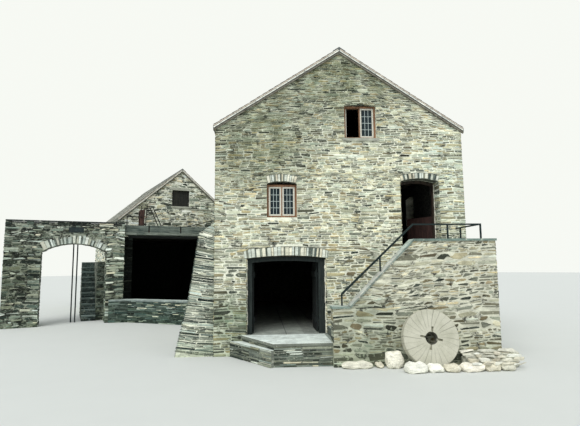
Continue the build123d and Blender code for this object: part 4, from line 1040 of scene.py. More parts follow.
class Mason:
    """Lays stones, slates and slabs into one mesh, each with its own tone."""

    def __init__(self, seed: int) -> None:
        """Start an empty mesh.

        Args:
            seed: Seed of this mesh's random sizes.
        """
        self.rng = random.Random(seed)
        self.bm = bmesh.new()
        self.tone = self.bm.faces.layers.float.new("tone")
        self.groups: dict[Point, list[bmesh.types.BMFace]] = {}

    def stone(self, points: Sequence[Vector], bevel: float, proud: float, tone: float) -> None:
        """Add the outline of one stone, to be raised at the end.

        Args:
            points: Corners, anticlockwise from outside.
            bevel: Width of the sloping edge.
            proud: Height of the face over the outline.
            tone: Shade from 0 to 1.
        """
        kept = [p for i, p in enumerate(points) if (p - points[i - 1]).length > TOUCHING]
        if len(kept) > 2:
            face = self.bm.faces.new([self.bm.verts.new(p) for p in kept])
            face[self.tone] = tone
            self.groups.setdefault((bevel, proud), []).append(face)

    def wander(self, patch: Patch, kind: Coursing, u: float, v: float) -> float:
        """How far a course leaves the level at a point.

        Args:
            patch: Where the course lies.
            kind: Sizes of its stones.
            u: Metres along.
            v: Metres up.

        Returns:
            Metres up or, below zero, down.
        """
        wave = sum(size * math.sin(a * u + b * v + start) for size, a, b, start in WAVES)
        fade = min(1.0, max(0.0, patch.clear(u, v)) / FADE)
        return wave * kind.wander * fade + kind.rake * u

    def lay(self, patch: Patch, kind: Coursing, clips: Sequence[tuple[Vector, Vector]] = ()) -> None:
        """Fill a patch with courses of stones.

        Args:
            patch: Where to lay them.
            kind: Their sizes.
            clips: Planes to cut the stones at, as a point and an outward normal.
        """
        rng = self.rng
        v, top = patch.rise()
        start = set(self.bm.faces)
        weights = [w for _, _, w in kind.heights]
        while v < top - THINNEST_COURSE:
            low, high, _ = rng.choices(kind.heights, weights)[0]
            height = rng.uniform(low, high)
            if top - v - height < LAST_COURSE:
                height = top - v
            for course in patch.courses(v, v + height):
                self.run(patch, kind, course)
            v += height
        if clips:
            self.cut([f for f in self.bm.faces if f not in start], clips)

    def wall(
        self, kind: Coursing, origin: Vector, along: Vector, right: float, top: float,
        foot: float = 0.0, left: float = 0.0, wrap: Point = BOTH_ENDS,
    ) -> None:
        """Fill a rectangular stretch of wall.

        Args:
            kind: Sizes of its stones.
            origin: Point that the other lengths are measured from.
            along: Direction to the right.
            right: Right end.
            top: Top.
            foot: Foot.
            left: Left end.
            wrap: How far the stones stand past the left and right end.
        """
        self.lay(Patch(origin, along, oblong(right, top, foot, left), wrap=wrap), kind)

    def run(self, patch: Patch, kind: Coursing, course: Course) -> None:
        """Lay one stretch of a course.

        Args:
            patch: Where it lies.
            kind: Sizes of its stones.
            course: The stretch.
        """
        rng = self.rng
        length = max(b - a for a, b in (course.foot, course.head))
        height = course.high - course.low
        t = 0.0
        while t < 1.0:
            size = min(kind.longest, max(kind.shortest, height * rng.uniform(*kind.ratio)))
            step = size / length
            end = 1.0 if t + step * LONGEST_LAST > 1.0 else t + step
            halves = height > SPLIT_COURSE and rng.random() < kind.split
            for layer in course.split(rng.uniform(0.38, 0.62)) if halves else (course,):
                self.block(patch, kind, layer, t, end)
            t = end

    def block(self, patch: Patch, kind: Coursing, course: Course, t0: float, t1: float) -> None:
        """Lay one stone with up to eight corners.

        Args:
            patch: Where it lies.
            kind: Sizes of the wall's stones.
            course: The course that it lies in.
            t0: Share of the course at which it starts.
            t1: Share at which it ends.
        """
        rng = self.rng
        gap = kind.joint / 2
        height = course.high - course.low - 2 * gap
        (a0, b0), (a1, b1) = course.ends(t0, t1, gap)
        if min(b0 - a0, b1 - a1) < SHORTEST or height < LOWEST:
            return
        bite = height * kind.rough
        side = min(bite * 1.6, (b0 - a0) * 0.12)

        def inward(limit: float, share: float = 1.0) -> float:
            """A random inset of at most a limit."""
            return rng.random() ** 1.6 * limit * share

        free_left, free_right = (1.0 if t0 else 0.15), (1.0 if t1 < 1.0 else 0.15)
        foot_z, head_z = course.low + gap, course.high - gap
        corners: list[Point] = []
        for u, v, du, dv, loose in (
            (a0, foot_z, 1, 1, free_left), (b0, foot_z, -1, 1, free_right),
            (b1, head_z, -1, -1, free_right), (a1, head_z, 1, -1, free_left),
        ):
            u += du * inward(side, loose)
            v += dv * inward(bite)
            cut = height * kind.chamfer * rng.uniform(0.2, 1.0)
            if loose < 1.0 or cut < LOWEST:
                corners.append((u, v))
                continue
            reach = min(cut * rng.uniform(0.8, 2.6), (b0 - a0) * 0.3)
            ends = [(u, v + dv * cut), (u + du * reach, v)]
            corners += ends if du == dv else ends[::-1]
        bevel = next(width for limit, width in BEVELS if height < limit)
        proud = rng.choice(kind.proud)
        points = [patch.at(u, v + self.wander(patch, kind, u, v), -BEDDED_BY) for u, v in corners]
        self.stone(
            points, min(bevel, height * 0.2), round(proud + BEDDED_BY, 4), rng.uniform(*kind.tones)
        )

    def cut(self, faces: Sequence[bmesh.types.BMFace], clips: Sequence[tuple[Vector, Vector]]) -> None:
        """Cut some of the flat outlines at planes and drop what lies outside.

        Args:
            faces: The outlines.
            clips: The planes, as a point and an outward normal.
        """
        for place, normal in clips:
            faces = [f for f in faces if f.is_valid]
            geom = [
                *faces, *dict.fromkeys(e for f in faces for e in f.edges),
                *dict.fromkeys(v for f in faces for v in f.verts),
            ]
            bmesh.ops.bisect_plane(
                self.bm, geom=geom, plane_co=place, plane_no=normal, clear_outer=True, dist=0.0001
            )
        for key, group in self.groups.items():
            self.groups[key] = [f for f in group if f.is_valid and f.calc_area() > SLIVER]

    def ring(self, patch: Patch, void: Void, kind: Voussoirs) -> None:
        """Lay the upright stones of an arch.

        Args:
            patch: The wall's patch.
            void: The opening, with its ring.
            kind: Sizes and tones of the stones.
        """
        rng = self.rng
        _, radius, centre = void.circle()
        middle = (void.left + void.right) / 2
        reach = void.reach()
        angle = -reach
        half_way = radius + void.ring / 2
        gap = kind.joint / half_way
        pale = True
        while angle < reach - 0.2 * kind.width[0] / radius:
            size = rng.uniform(*kind.width) * (1.0 if pale else kind.narrower)
            turn = size / half_way
            end = reach if angle + turn * kind.longest_last > reach else angle + turn
            outer = radius + void.ring * (1.0 - rng.uniform(0.0, kind.ragged))
            inner = radius + rng.uniform(0.0, kind.uneven)
            start, stop = angle + gap, end - gap
            points = [
                patch.at(middle + r * math.sin(a), centre + r * math.cos(a), 0.0)
                for r, a in ((inner, start), (inner, stop), (outer, stop), (outer - 0.01, start))
            ]
            tone = rng.uniform(*(kind.pale if pale else kind.dark))
            self.stone(points, kind.bevel, round(kind.proud * rng.choice((0.8, 1.0, 1.2)), 4), tone)
            pale = rng.random() < kind.pale_next[pale]
            angle = end

    def slates(self, patch: Patch, kind: Slating) -> None:
        """Lay overlapping rows of slates up a slope.

        Args:
            patch: The slope.
            kind: Sizes of the slates.
        """
        rng = self.rng
        v, top = patch.rise()
        while v < top - kind.least_row:
            high = min(v + kind.row, top)
            span = patch.span((v + high) / 2)
            u = span[0] - rng.uniform(0.0, kind.width[0] * 0.6)
            while u < span[1]:
                end = u + rng.uniform(*kind.width)
                a, b = max(u, span[0]), min(end, span[1])
                if b - a > kind.least_width:
                    foot = v + rng.uniform(0.0, kind.ragged)
                    lift = rng.uniform(*kind.lift)
                    a, b, head = a + kind.gap, b - kind.gap, high + kind.lap
                    points = [
                        patch.at(a, foot, lift), patch.at(b, foot, lift), patch.at(b, head, kind.sunk),
                        patch.at(a, head, kind.sunk),
                    ]
                    self.stone(points, kind.bevel, kind.thick, rng.random())
                u = end
            v = high

    def raise_stones(self) -> None:
        """Turn the flat outlines into closed stones with sloping edges."""
        for (bevel, proud), group in sorted(self.groups.items()):
            made = bmesh.ops.duplicate(self.bm, geom=group)["geom"]
            bmesh.ops.reverse_faces(self.bm, faces=[g for g in made if isinstance(g, bmesh.types.BMFace)])
            bmesh.ops.inset_individual(
                self.bm, faces=group, thickness=bevel, depth=proud, use_even_offset=False
            )
        bmesh.ops.remove_doubles(self.bm, verts=self.bm.verts, dist=MERGED)

    def piece(self, name: str, finish: Finish, slot: str) -> None:
        """Finish the mesh as a piece.

        Args:
            name: The piece's name.
            finish: Its finish.
            slot: Not used.
        """
        self.raise_stones()
        keep(self.bm, name, finish)


def keep(
    bm: bmesh.types.BMesh, name: str, finish: Finish, body: str = "mill"
) -> bpy.types.Object:
    """Turn a bmesh into a piece that rides on a body.

    Args:
        bm: The mesh, freed here.
        name: The piece's name.
        finish: Its finish.
        body: The body it rides on.

    Returns:
        The new object.
    """
    mesh = bpy.data.meshes.new(name)
    bm.to_mesh(mesh)
    bm.free()
    mesh.materials.append(finish.material())
    piece = bpy.data.objects.new(name, mesh)
    bpy.context.scene.collection.objects.link(piece)
    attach(piece, body)
    LOG.info("%s: %d faces on %s", name, len(mesh.polygons), body)
    return piece


def dress(finish: Finish, *nodes: str) -> None:
    """Give CAD nodes a finish.

    Args:
        finish: The finish.
        nodes: Names of the nodes.
    """
    for node in nodes:
        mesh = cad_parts[node].data
        mesh.materials.clear()
        mesh.materials.append(finish.material())
        LOG.info("%s: %s", node, finish.name)


def box_at(
    bm: bmesh.types.BMesh, low: Sequence[float], high: Sequence[float], place: Place, bevel: float
) -> None:
    """Add a box given in the coordinates of a place function.

    Args:
        bm: The mesh to add to.
        low: Lowest corner.
        high: Highest corner.
        place: Turns local coordinates into a point of the row.
        bevel: Width of the rounded edges.
    """
    made = bmesh.ops.create_cube(bm, size=1.0)["verts"]
    for vert in made:
        local = [(a + b) / 2 + c * (b - a) for a, b, c in zip(low, high, vert.co)]
        vert.co = place(*local)
    bmesh.ops.bevel(
        bm, geom=list(dict.fromkeys(e for v in made for e in v.link_edges)), offset=bevel,
        offset_type="OFFSET", segments=2, profile=0.5, affect="EDGES", material=-1,
    )


FACADE_SPOTS = (
    Spot((*mill(1.1, 0.0, 5.6),), 2.2, 0.90), Spot((*mill(3.3, 0.0, 7.9),), 2.9, 1.0),
    Spot((*mill(0.45, 0.0, 0.9),), 1.0, 0.85, Ageing.DAMP),
    Spot((*mill(3.6, -1.5, 0.7),), 1.3, 0.55, Ageing.DAMP),
    Spot((*mill(4.4, 0.0, 3.4),), 2.9, 0.55, Ageing.LIMED),
    Spot((*mill(6.6, 0.0, 4.6),), 1.9, 0.60, Ageing.WASHED),
)
SIDE_SPOTS = (
    Spot((*mill(6.6, 2.0, 4.6),), 2.6, 0.5, Ageing.WASHED), Spot((*mill(6.6, 8.0, 2.0),), 3.2, 0.6),
    Spot((*mill(2.0, 10.5, 6.5),), 3.0, 0.6), Spot((*mill(0.0, 6.2, 0.4),), 3.4, 0.95, Ageing.DAMP),
)
LINE_SPOTS = (
    Spot((*line(-4.5, 0.0, 2.0),), 2.3, 0.85),
    Spot((*line(0.2, 0.6, 1.6),), 1.3, 0.6, Ageing.DAMP),
    Spot((*line(-0.35, 0.0, 2.1),), 0.9, 0.9, Ageing.LIMED),
    Spot((*line(-1.5, 0.9, 0.8),), 2.0, 0.8, Ageing.DAMP),
)
WING_SPOTS = (
    Spot((*line(3.75, 1.07, 4.98),), 0.75, 1.0, Ageing.DAMP), Spot((*line(4.9, 1.07, 4.2),), 1.1, 0.6)
)


@dataclass
class MainMill:
    """The tall mill: its walls, arches, roof and verges."""

    width: float = 6.6
    depth: float = 10.5
    eaves: float = 5.83
    apex: float = 7.98
    doorway: Void = Void(0.803, 2.856, 0.0, 2.412, 0.068, 0.24, 0.08)
    upper_door: Void = Void(4.872, 5.932, 2.55, 4.421, 0.082, 0.165, 0.02)
    window: Void = Void(1.331, 2.116, 3.467, 4.36, 0.05, 0.20, 0.02)
    gable_window: Void = Void(3.409, 4.279, 5.587, 6.50)
    gable_sill: Void = Void(3.349, 4.339, 5.512, 5.587)
    side_windows: tuple[float, float] = (2.35, 7.10)
    back_window: float = 2.90
    course_split: float = 2.95
    door_reveal: float = 0.11
    upper_reveal: float = 0.33
    floor: float = 0.51
    roof_out: float = 0.06
    roof_past: float = 0.08
    roof_thick: float = 0.09

    def plain_window(self, left: float) -> Void:
        """An arched window of the side or back wall, as large as the one in the facade."""
        return replace(self.window, left=left, right=left + self.window.right - self.window.left)

    def gable(self, foot: float = 0.0) -> list[Point]:
        """Outline of a gable wall from a height up."""
        return [
            (0, foot), (self.width, foot), (self.width, self.eaves), (self.width / 2, self.apex),
            (0, self.eaves),
        ]

    def facade(self) -> Patch:
        """The front wall."""
        voids = (self.doorway, self.upper_door, self.window, self.gable_window, self.gable_sill)
        return Patch(mill(0, 0), EAST, self.gable(), voids)

    def sides(self) -> dict[str, Patch]:
        """The three other walls.

        Returns:
            Their patches, by the name of each piece.
        """
        right = [self.plain_window(left) for left in self.side_windows]
        back = [self.plain_window(self.back_window)]
        behind_buttress = [Void(8.98, 10.44, 0.0, 3.05)]
        flank = oblong(self.depth, self.eaves)
        return {
            "right_wall_stones": Patch(mill(self.width, 0), NORTH, flank, right),
            "back_wall_stones": Patch(mill(self.width, self.depth), -EAST, self.gable(), back),
            "left_wall_stones": Patch(mill(0, self.depth), -NORTH, flank, behind_buttress),
        }

    def build(self) -> None:
        """Lay the walls and arches and dress the nodes."""
        stone = RubbleStone("facade_stone", spots=FACADE_SPOTS)
        front = self.facade()
        mason = Mason(11)
        mason.lay(replace(front, outline=oblong(self.width, self.course_split)), BEDDED)
        mason.lay(replace(front, outline=self.gable(self.course_split)), THIN)
        for void, reveal in ((self.doorway, self.door_reveal), (self.upper_door, self.upper_reveal)):
            foot = max(void.foot, self.floor)
            for origin, way, wrap in (
                (mill(void.right, reveal), -NORTH, RIGHT_END), (mill(void.left, 0), NORTH, LEFT_END)
            ):
                mason.wall(BEDDED, origin, way, reveal, void.spring, foot, wrap=wrap)
        mason.piece("facade_stones", stone, "rubble_stone")
        rings = Mason(12)
        rings.ring(front, self.doorway, Voussoirs((0.045, 0.105)))
        rings.ring(front, self.upper_door, Voussoirs((0.045, 0.095)))
        rings.ring(front, self.window, Voussoirs((0.040, 0.080)))
        for name, patch in self.sides().items():
            wall = Mason(hash_name(name))
            wall.lay(patch, FLANK)
            wall.piece(name, RubbleStone("side_stone", spots=SIDE_SPOTS), "rubble_stone")
            for void in patch.voids:
                if void.rise:
                    rings.ring(patch, void, Voussoirs((0.040, 0.080)))
        upright = RubbleStone("arch_stone", stops=(
            (0.0, (0.045, 0.065, 0.060)), (0.20, (0.12, 0.15, 0.13)), (0.42, (0.34, 0.37, 0.30)),
            (0.66, (0.60, 0.62, 0.52)), (1.0, (0.76, 0.78, 0.68)),
        ), warm=0.45)
        rings.piece("arch_stones", upright, "dressed_stone")
        # The mill's inside walls get painted shade of the dark rooms
        room = ShadedRoom((*mill(0, 0),), (0.54, 0.30, 0.4), (6.06, 9.96, 8.2))
        mortar = LimeMortar("lime_mortar", spots=FACADE_SPOTS, shaded_rooms=(room,))
        dress(
            mortar, "front_wall_left", "front_wall_right", "front_wall_middle", "front_wall_over_door",
            "front_gable", "left_wall", "right_wall", "back_wall", "buttress",
        )
        bed = SlateSlab("arch_bed", top=(0.34, 0.36, 0.29), edge=(0.24, 0.26, 0.21))
        dress(bed, "doorway_arch", "upper_door_arch", "window_arches")
        sills = SlateSlab("sill_slate", top=(0.62, 0.64, 0.53), edge=(0.66, 0.68, 0.56))
        dress(sills, "sills_and_lintel")
        flags = SlateSlab("inside_flags", top=(0.30, 0.33, 0.29), edge=(0.2, 0.22, 0.19), length=0.9)
        dress(flags, "ground_floor")
        boards = Timber("floor_boards", grain=Grain.Y, board=0.18, pale=(0.20, 0.16, 0.10))
        dress(boards, "first_floor", "attic_floor")
        self.roof()

    def roof(self) -> None:
        """Slates, verge slips and ridge."""
        run = self.width / 2
        rise = self.apex - self.eaves
        slope = rise / run
        out = self.roof_out
        full = math.hypot(run, rise) + math.hypot(out, out * slope)
        y0, y1 = -self.roof_past, self.depth + self.roof_past
        deck = self.eaves - out * slope + self.roof_thick
        outline = oblong(y1 - y0, full - MILL_SLATES.bare_top, MILL_SLATES.bare_foot)
        slates, slips = Mason(21), Mason(22)
        for x, y, far, inward, along, across in (
            (-out, y0, y1, run, -NORTH, EAST), (self.width + out, y1, y0, -run, NORTH, -EAST)
        ):
            up = Vector((inward, 0, rise)).normalized()
            half = Patch(mill(x, far, deck), along, outline, up=up, wrap=NO_END)
            slates.slates(half, MILL_SLATES)
            foot = mill(x, y, deck - self.roof_thick)
            gable_verge(slips, foot, across, run + out, slope, self.roof_thick)
        slates.piece("mill_slates", RoofSlate("mill_slate"), "slate")
        dress(RoofSlate("slate_bed", pale=(0.20, 0.21, 0.18)), "roof_left", "roof_right", "ridge_tiles")
        slips.piece("mill_verge_slips", VERGE_SLIP, "dressed_stone")
        board = Timber("verge_board", pale=(0.34, 0.32, 0.26), dark=(0.13, 0.12, 0.095), grain=Grain.X)
        dress(board, "verges")


def hash_name(name: str) -> int:
    """A seed from a piece's name."""
    return sum(ord(c) * (i + 1) for i, c in enumerate(name))


VERGE_SLIP = RubbleStone("verge_slip", stops=(
    (0.0, (0.50, 0.42, 0.34)), (0.45, (0.62, 0.55, 0.46)), (0.55, (0.66, 0.67, 0.60)),
    (1.0, (0.82, 0.83, 0.76)),
), warm=0.1, damp=0.0)


def gable_verge(
    mason: Mason, foot: Vector, along: Vector, run: float, slope: float, slate: float
) -> None:
    """Lay two courses of pale slips on the roof's edge up both slopes of a gable.

    Args:
        mason: Takes the slips.
        foot: Lower corner of the roof's end face.
        along: Direction across the gable.
        run: Half of the roof's width.
        slope: Rise over run.
        slate: Upright thickness of the roof at its edge.
    """
    full = math.hypot(run, run * slope)
    height = slate / math.hypot(1.0, slope) - 0.003
    split = height * 0.55
    for near, way in ((0.0, 1.0), (2 * run, -1.0)):
        up_slope = (along * way + UP * slope).normalized()
        across = (UP - along * slope * way).normalized()
        start = foot + along * near + UP * 0.003
        for low, high, tones in ((0.0, split, (0.55, 1.0)), (split, height, (0.0, 0.5))):
            left, right = (slope * high, full) if way > 0 else (-full, -slope * high)
            outline = oblong(right, high, low, left)
            patch = Patch(start, up_slope * way, outline, up=across, wrap=NO_END)
            mason.lay(patch, replace(SLIPS, tones=tones))


@dataclass
class Joinery:
    """Door frames, leaves, windows and their bars."""

    panes: tuple[int, int] = (3, 4)
    bar: float = 0.011
    frame_bar: float = 0.052
    casement_bar: float = 0.042
    setback: float = 0.095
    casement_in: float = 0.014
    casement_deep: float = 0.042
    arch_drop: float = 0.022
    swing: float = math.radians(98.0)
    swung_in: float = 0.086
    fillet_long: Point = (0.08, 0.24)
    fillet_wide: Point = (0.024, 0.042)
    fillet_deep: Point = (0.012, 0.022)

    def glaze(self, bm: bmesh.types.BMesh, width: float, height: float, place: Place) -> None:
        """Add the glazing bars of one casement.

        Args:
            bm: The mesh to add to.
            width: Casement's width.
            height: Casement's height.
            place: Turns the casement's coordinates into a point of the row.
        """
        rail = self.casement_bar
        columns, rows = self.panes
        y0, y1 = 0.006, self.casement_deep - 0.006
        half = self.bar / 2
        for i in range(1, columns):
            x = rail + (width - 2 * rail) * i / columns
            box_at(bm, (x - half, y0, rail), (x + half, y1, height - rail), place, 0.003)
        for i in range(1, rows):
            z = rail + (height - 2 * rail) * i / rows
            box_at(bm, (rail, y0 + 0.002, z - half), (width - rail, y1 - 0.002, z + half), place, 0.003)

    def window(
        self, bm: bmesh.types.BMesh, void: Void, origin: Vector, along: Vector, open_left: bool = False
    ) -> None:
        """Add the bars of both casements of a window.

        Args:
            bm: The mesh to add to.
            void: The window's opening.
            origin: Point that the opening is measured from.
            along: Direction to the right, seen from outside.
            open_left: True where the left casement stands open.
        """
        inward = -along.cross(UP)
        width = void.right - void.left
        light = width / 2 - self.frame_bar * 1.25
        top = void.spring - (self.arch_drop if void.rise else 0.0)
        height = top - void.foot - 2 * self.frame_bar
        for hinge, swung in (
            (void.left + self.frame_bar, open_left), (void.left + width / 2 + self.frame_bar / 4, False)
        ):
            cos, sin = (math.cos(self.swing), math.sin(self.swing)) if swung else (1.0, 0.0)
            depth = self.setback + (self.swung_in if swung else self.casement_in)
            behind = self.casement_deep if swung else 0.0

            def place(x: float, y: float, z: float) -> Vector:
                """Point of the casement, which turns about its hinge.

                Args:
                    x: Metres from the hinge.
                    y: Metres in from the outer face.
                    z: Metres above its foot.

                Returns:
                    The point in the row's frame.
                """
                y -= behind
                u, d = hinge + x * cos - y * sin, depth + x * sin + y * cos
                return origin + along * u + inward * d + UP * (void.foot + self.frame_bar + z)

            self.glaze(bm, light, height, place)

    def build(self, main: MainMill) -> None:
        """Glaze the windows and dress the joinery.

        Args:
            main: The mill that holds the windows.
        """
        bm = bmesh.new()
        self.window(bm, main.window, mill(0, 0), EAST)
        self.window(bm, main.gable_window, mill(0, 0), EAST, open_left=True)
        for left in main.side_windows:
            self.window(bm, main.plain_window(left), mill(main.width, 0), NORTH)
        self.window(bm, main.plain_window(main.back_window), mill(main.width, main.depth), -EAST)
        bars = OilPaint("pale_bars", paint_colour=(0.54, 0.62, 0.59))
        keep(bm, "glazing_bars", bars)
        stiles = OilPaint(
            "worn_casement", paint_colour=(0.66, 0.65, 0.56), wood=(0.42, 0.28, 0.18), wear=0.57
        )
        frames = Timber("stained_oak", (0.36, 0.20, 0.11), (0.12, 0.055, 0.028))
        upper = Timber("dark_stained_oak", (0.060, 0.042, 0.030), (0.012, 0.008, 0.006))
        # Door frame near-black teal: dark oak with painted shade of the doorway
        lower = Timber("shaded_dark_oak", (0.032, 0.040, 0.037), (0.002, 0.008, 0.008))
        # Door leaves near-black teal: dark boards with painted shade of the doorway
        leaves = Timber("shaded_leaf_boards", (0.012, 0.017, 0.016), (0.003, 0.006, 0.006), board=0.15, across=1)
        half = Timber("half_leaf", (0.060, 0.030, 0.024), (0.018, 0.008, 0.007), board=0.16, across=1)
        shutter = Timber(
            "shutter_boards", (0.027, 0.026, 0.020), (0.004, 0.007, 0.006), turn=LINE_TURN, board=0.16
        )
        for finish, *nodes in (
            (stiles, "casements"), (WindowGlass("old_glass"), "window_glass"), (frames, "window_frames"),
            (upper, "upper_door_frame"), (lower, "door_frame"), (half, "upper_door_leaf"),
            (leaves, "front_door_left", "front_door_right"), (shutter, "wing_shutter"),
            (Ironwork("painted_iron"), "stair_handrail", "door_hinge_pins"),
        ):
            dress(finish, *nodes)
        self.fillets(main)

    def fillets(self, main: MainMill) -> None:
        """Lime fillets that point the door frames to their jambs.

        Args:
            main: The mill with the two doorways.
        """
        bm = bmesh.new()
        rng = random.Random(15)
        for void, face in ((main.doorway, main.door_reveal), (main.upper_door, main.upper_reveal)):
            for edge, way in ((void.left, 1.0), (void.right, -1.0)):
                z = max(void.foot, main.floor) + 0.002
                while z < void.spring - 0.03:
                    top = min(z + rng.uniform(*self.fillet_long), void.spring - 0.02)
                    wide, deep = rng.uniform(*self.fillet_wide), rng.uniform(*self.fillet_deep)
                    ends = sorted((edge - way * 0.004, edge + way * wide))
                    box_at(bm, (ends[0], face - deep, z), (ends[1], face + 0.004, top), mill, 0.006)
                    z = top - 0.003
        lime = LimeMortar("door_lime", pale=(0.80, 0.78, 0.66), raked=0.30, damp=0.0)
        keep(bm, "door_fillets", lime)


@dataclass
class StairBlock:
    """Outside stair with its parapet, coping, platform, millstone and footing stones."""

    left: float = 2.77
    depth: float = 1.45
    foot_top: float = 1.27
    foot_end: float = 3.151
    slope_end: float = 4.658
    top: float = 2.77
    right: float = 6.6
    parapet: float = 0.30
    floor: float = 0.51
    apron_back: Point = (0.70, 0.0)
    apron_corner: Point = (1.46, -1.298)
    apron_top: float = 0.45
    step_top: float = 0.37
    step_out: float = 0.09
    step_left: float = 0.30
    toe_left: float = 2.79
    toe_foot: float = 0.13
    toe_rise: float = 0.20
    toe_corner: float = 0.20
    stone_edge: float = 0.11
    ripple: float = 0.012

    def face(self) -> list[Point]:
        """Outline of the parapet's front, from the stair's left end.

        Returns:
            The corners.
        """
        width = self.right - self.left
        return [
            (0, 0), (width, 0), (width, self.top), (self.slope_end - self.left, self.top),
            (self.foot_end - self.left, self.foot_top), (0, self.foot_top),
        ]

    def build(self) -> None:
        """Lay the stones and dress the parapet, slabs and millstone."""
        mason = Mason(31)
        mason.lay(Patch(mill(self.left, -self.depth), EAST, self.face()), CHUNKY)
        mason.wall(CHUNKY, mill(self.right, -self.depth), NORTH, self.depth, self.top)
        near = self.depth - self.parapet
        mason.wall(CHUNKY, mill(self.left, 0), -NORTH, self.depth, self.foot_top, self.floor, near)
        inside = self.right - self.parapet
        inner = [(inside - self.left - u, v) for u, v in self.face()]
        clipped = Patch(mill(inside, -near), -EAST, inner, wrap=NO_END)
        clips = [(mill(inside, 0), EAST), (mill(0, 0, self.floor + 0.01), -UP)]
        mason.lay(clipped, CHUNKY, clips)
        stone = RubbleStone("parapet_stone", stops=(
            (0.0, (0.025, 0.034, 0.027)), (0.20, (0.115, 0.12, 0.09)), (0.42, (0.23, 0.225, 0.165)),
            (0.66, (0.36, 0.355, 0.26)), (0.86, (0.49, 0.49, 0.37)), (1.0, (0.76, 0.76, 0.62)),
        ), warm=0.75, spots=FACADE_SPOTS, damp=0.9)
        mason.piece("parapet_stones", stone, "rubble_stone")
        mortar = LimeMortar("parapet_mortar", pale=(0.62, 0.62, 0.50), spots=FACADE_SPOTS, damp=0.9)
        tread = SlateSlab("stair_slate", top=(0.33, 0.38, 0.33), edge=(0.17, 0.20, 0.17))
        limed = Spot((*mill(3.7, -1.3, 1.9),), 1.5, 0.8, Ageing.BLEACHED)
        coping = SlateSlab("coping_slate", top=(0.45, 0.55, 0.49), edge=(0.29, 0.40, 0.345), spots=(limed,))
        slab = SlateSlab(
            "platform_slate", top=(0.80, 0.88, 0.82), edge=(0.30, 0.33, 0.27), damp=0.0, contrast=0.4
        )
        low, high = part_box("millstone")
        centre = (*((low + high) / 2),)
        granite = MillstoneGranite("millstone_granite", centre=centre, tilt=math.radians(-13.0))
        for finish, *nodes in (
            (mortar, "stair_parapet"), (tread, "stair_flight"), (coping, "stair_coping"),
            (slab, "platform", "platform_step"), (granite, "millstone"),
        ):
            dress(finish, *nodes)
        self.apron()
        self.toe()
        self.footing()

    def apron(self) -> None:
        """Thin slabs along the platform's front and round its lower step."""
        mason = Mason(32)
        back, corner = mill(*self.apron_back), mill(*self.apron_corner)
        run = (corner - back).normalized()
        out = Vector((run.y, -run.x, 0.0))
        mason.wall(LAID_SLABS, corner, EAST, self.left - self.apron_corner[0], self.apron_top)
        heel = back - EAST * self.step_left
        rake = corner + out * self.step_out - heel
        mason.wall(LAID_SLABS, heel, rake.normalized(), rake.length, self.step_top, left=0.02)
        mason.wall(
            LAID_SLABS, back, run, (corner - back).length, self.apron_top, self.step_top + 0.002, 0.02, NO_END
        )
        layered = RubbleStone("apron_stone", stops=(
            (0.0, (0.012, 0.020, 0.015)), (0.28, (0.05, 0.065, 0.050)), (0.55, (0.14, 0.17, 0.135)),
            (0.8, (0.29, 0.33, 0.27)), (1.0, (0.68, 0.72, 0.63)),
        ), warm=0.6, damp=0.1)
        mason.piece("platform_apron", layered, "rubble_stone")

    def toe(self) -> None:
        """Flat stones bedded on the slope at the foot of the stair's corner."""
        low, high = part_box("footing_stones")
        x0, x1 = self.left + self.toe_left, high.x - LOW_CORNER.x
        deep = -self.depth - (low.y - LOW_CORNER.y)
        slope = Vector((0.0, deep, self.toe_rise))
        width, reach = x1 - x0, slope.length
        cut = self.toe_corner
        outline = [(0, 0), (width - cut, 0), (width, cut), (width, reach), (0, reach)]
        foot = mill(x0, -self.depth - deep, self.toe_foot)
        mason = Mason(33)
        patch = Patch(foot, EAST, outline, up=slope.normalized(), wrap=(-0.01, -0.01))
        mason.lay(patch, FLAT_STONES)
        mason.piece("toe_stones", self.boulder(), "granite")

    def boulder(self) -> RubbleStone:
        """Finish of the loose stones at the stair's foot."""
        return RubbleStone("footing_stone", stops=(
            (0.0, (0.35, 0.34, 0.27)), (0.35, (0.55, 0.54, 0.44)), (0.7, (0.71, 0.70, 0.59)),
            (1.0, (0.88, 0.87, 0.77)),
        ), lichen=(0.76, 0.75, 0.66), warm=0.2, damp=0.0)

    def footing(self) -> None:
        """Rough the footing stones and set them in place of the plain ones."""
        bm = bmesh.new()
        bm.from_mesh(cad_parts["footing_stones"].data)
        bmesh.ops.remove_doubles(bm, verts=bm.verts, dist=0.0001)
        tone = bm.faces.layers.float.new("tone")
        rng = random.Random(34)
        left = set(bm.faces)
        while left:
            island, front = set(), {min(left, key=lambda face: face.index)}
            while front:
                island |= front
                front = {g for f in front for e in f.edges for g in e.link_faces} - island
            left -= island
            shade = rng.uniform(0.15, 0.95)
            for face in island:
                face[tone] = shade
        for _ in range(2):
            long = [e for e in bm.edges if e.calc_length() > self.stone_edge]
            bmesh.ops.subdivide_edges(bm, edges=long, cuts=1, use_grid_fill=True)
            bmesh.ops.triangulate(bm, faces=bm.faces)
        for _ in range(3):
            bmesh.ops.smooth_vert(
                bm, verts=bm.verts, factor=0.5, use_axis_x=True, use_axis_y=True, use_axis_z=True
            )
        for vert in bm.verts:
            x, y, z = vert.co
            wave = Vector((
                math.sin(y * 23 + z * 17), math.sin(x * 21 + z * 25 + 1), math.sin(x * 26 + y * 19 + 2)
            ))
            wave += 0.5 * Vector((math.sin(z * 61), math.sin(x * 57 + z * 43), math.sin(x * 49 + y * 53)))
            vert.co += wave * self.ripple
            vert.co.z = max(vert.co.z, 0.0)
            vert.co.y = min(vert.co.y, LOW_CORNER.y - self.depth + 0.004)
        for face in bm.faces:
            face.smooth = False
        piece = keep(bm, "rough_footing_stones", self.boulder())
        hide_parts("footing_stones")


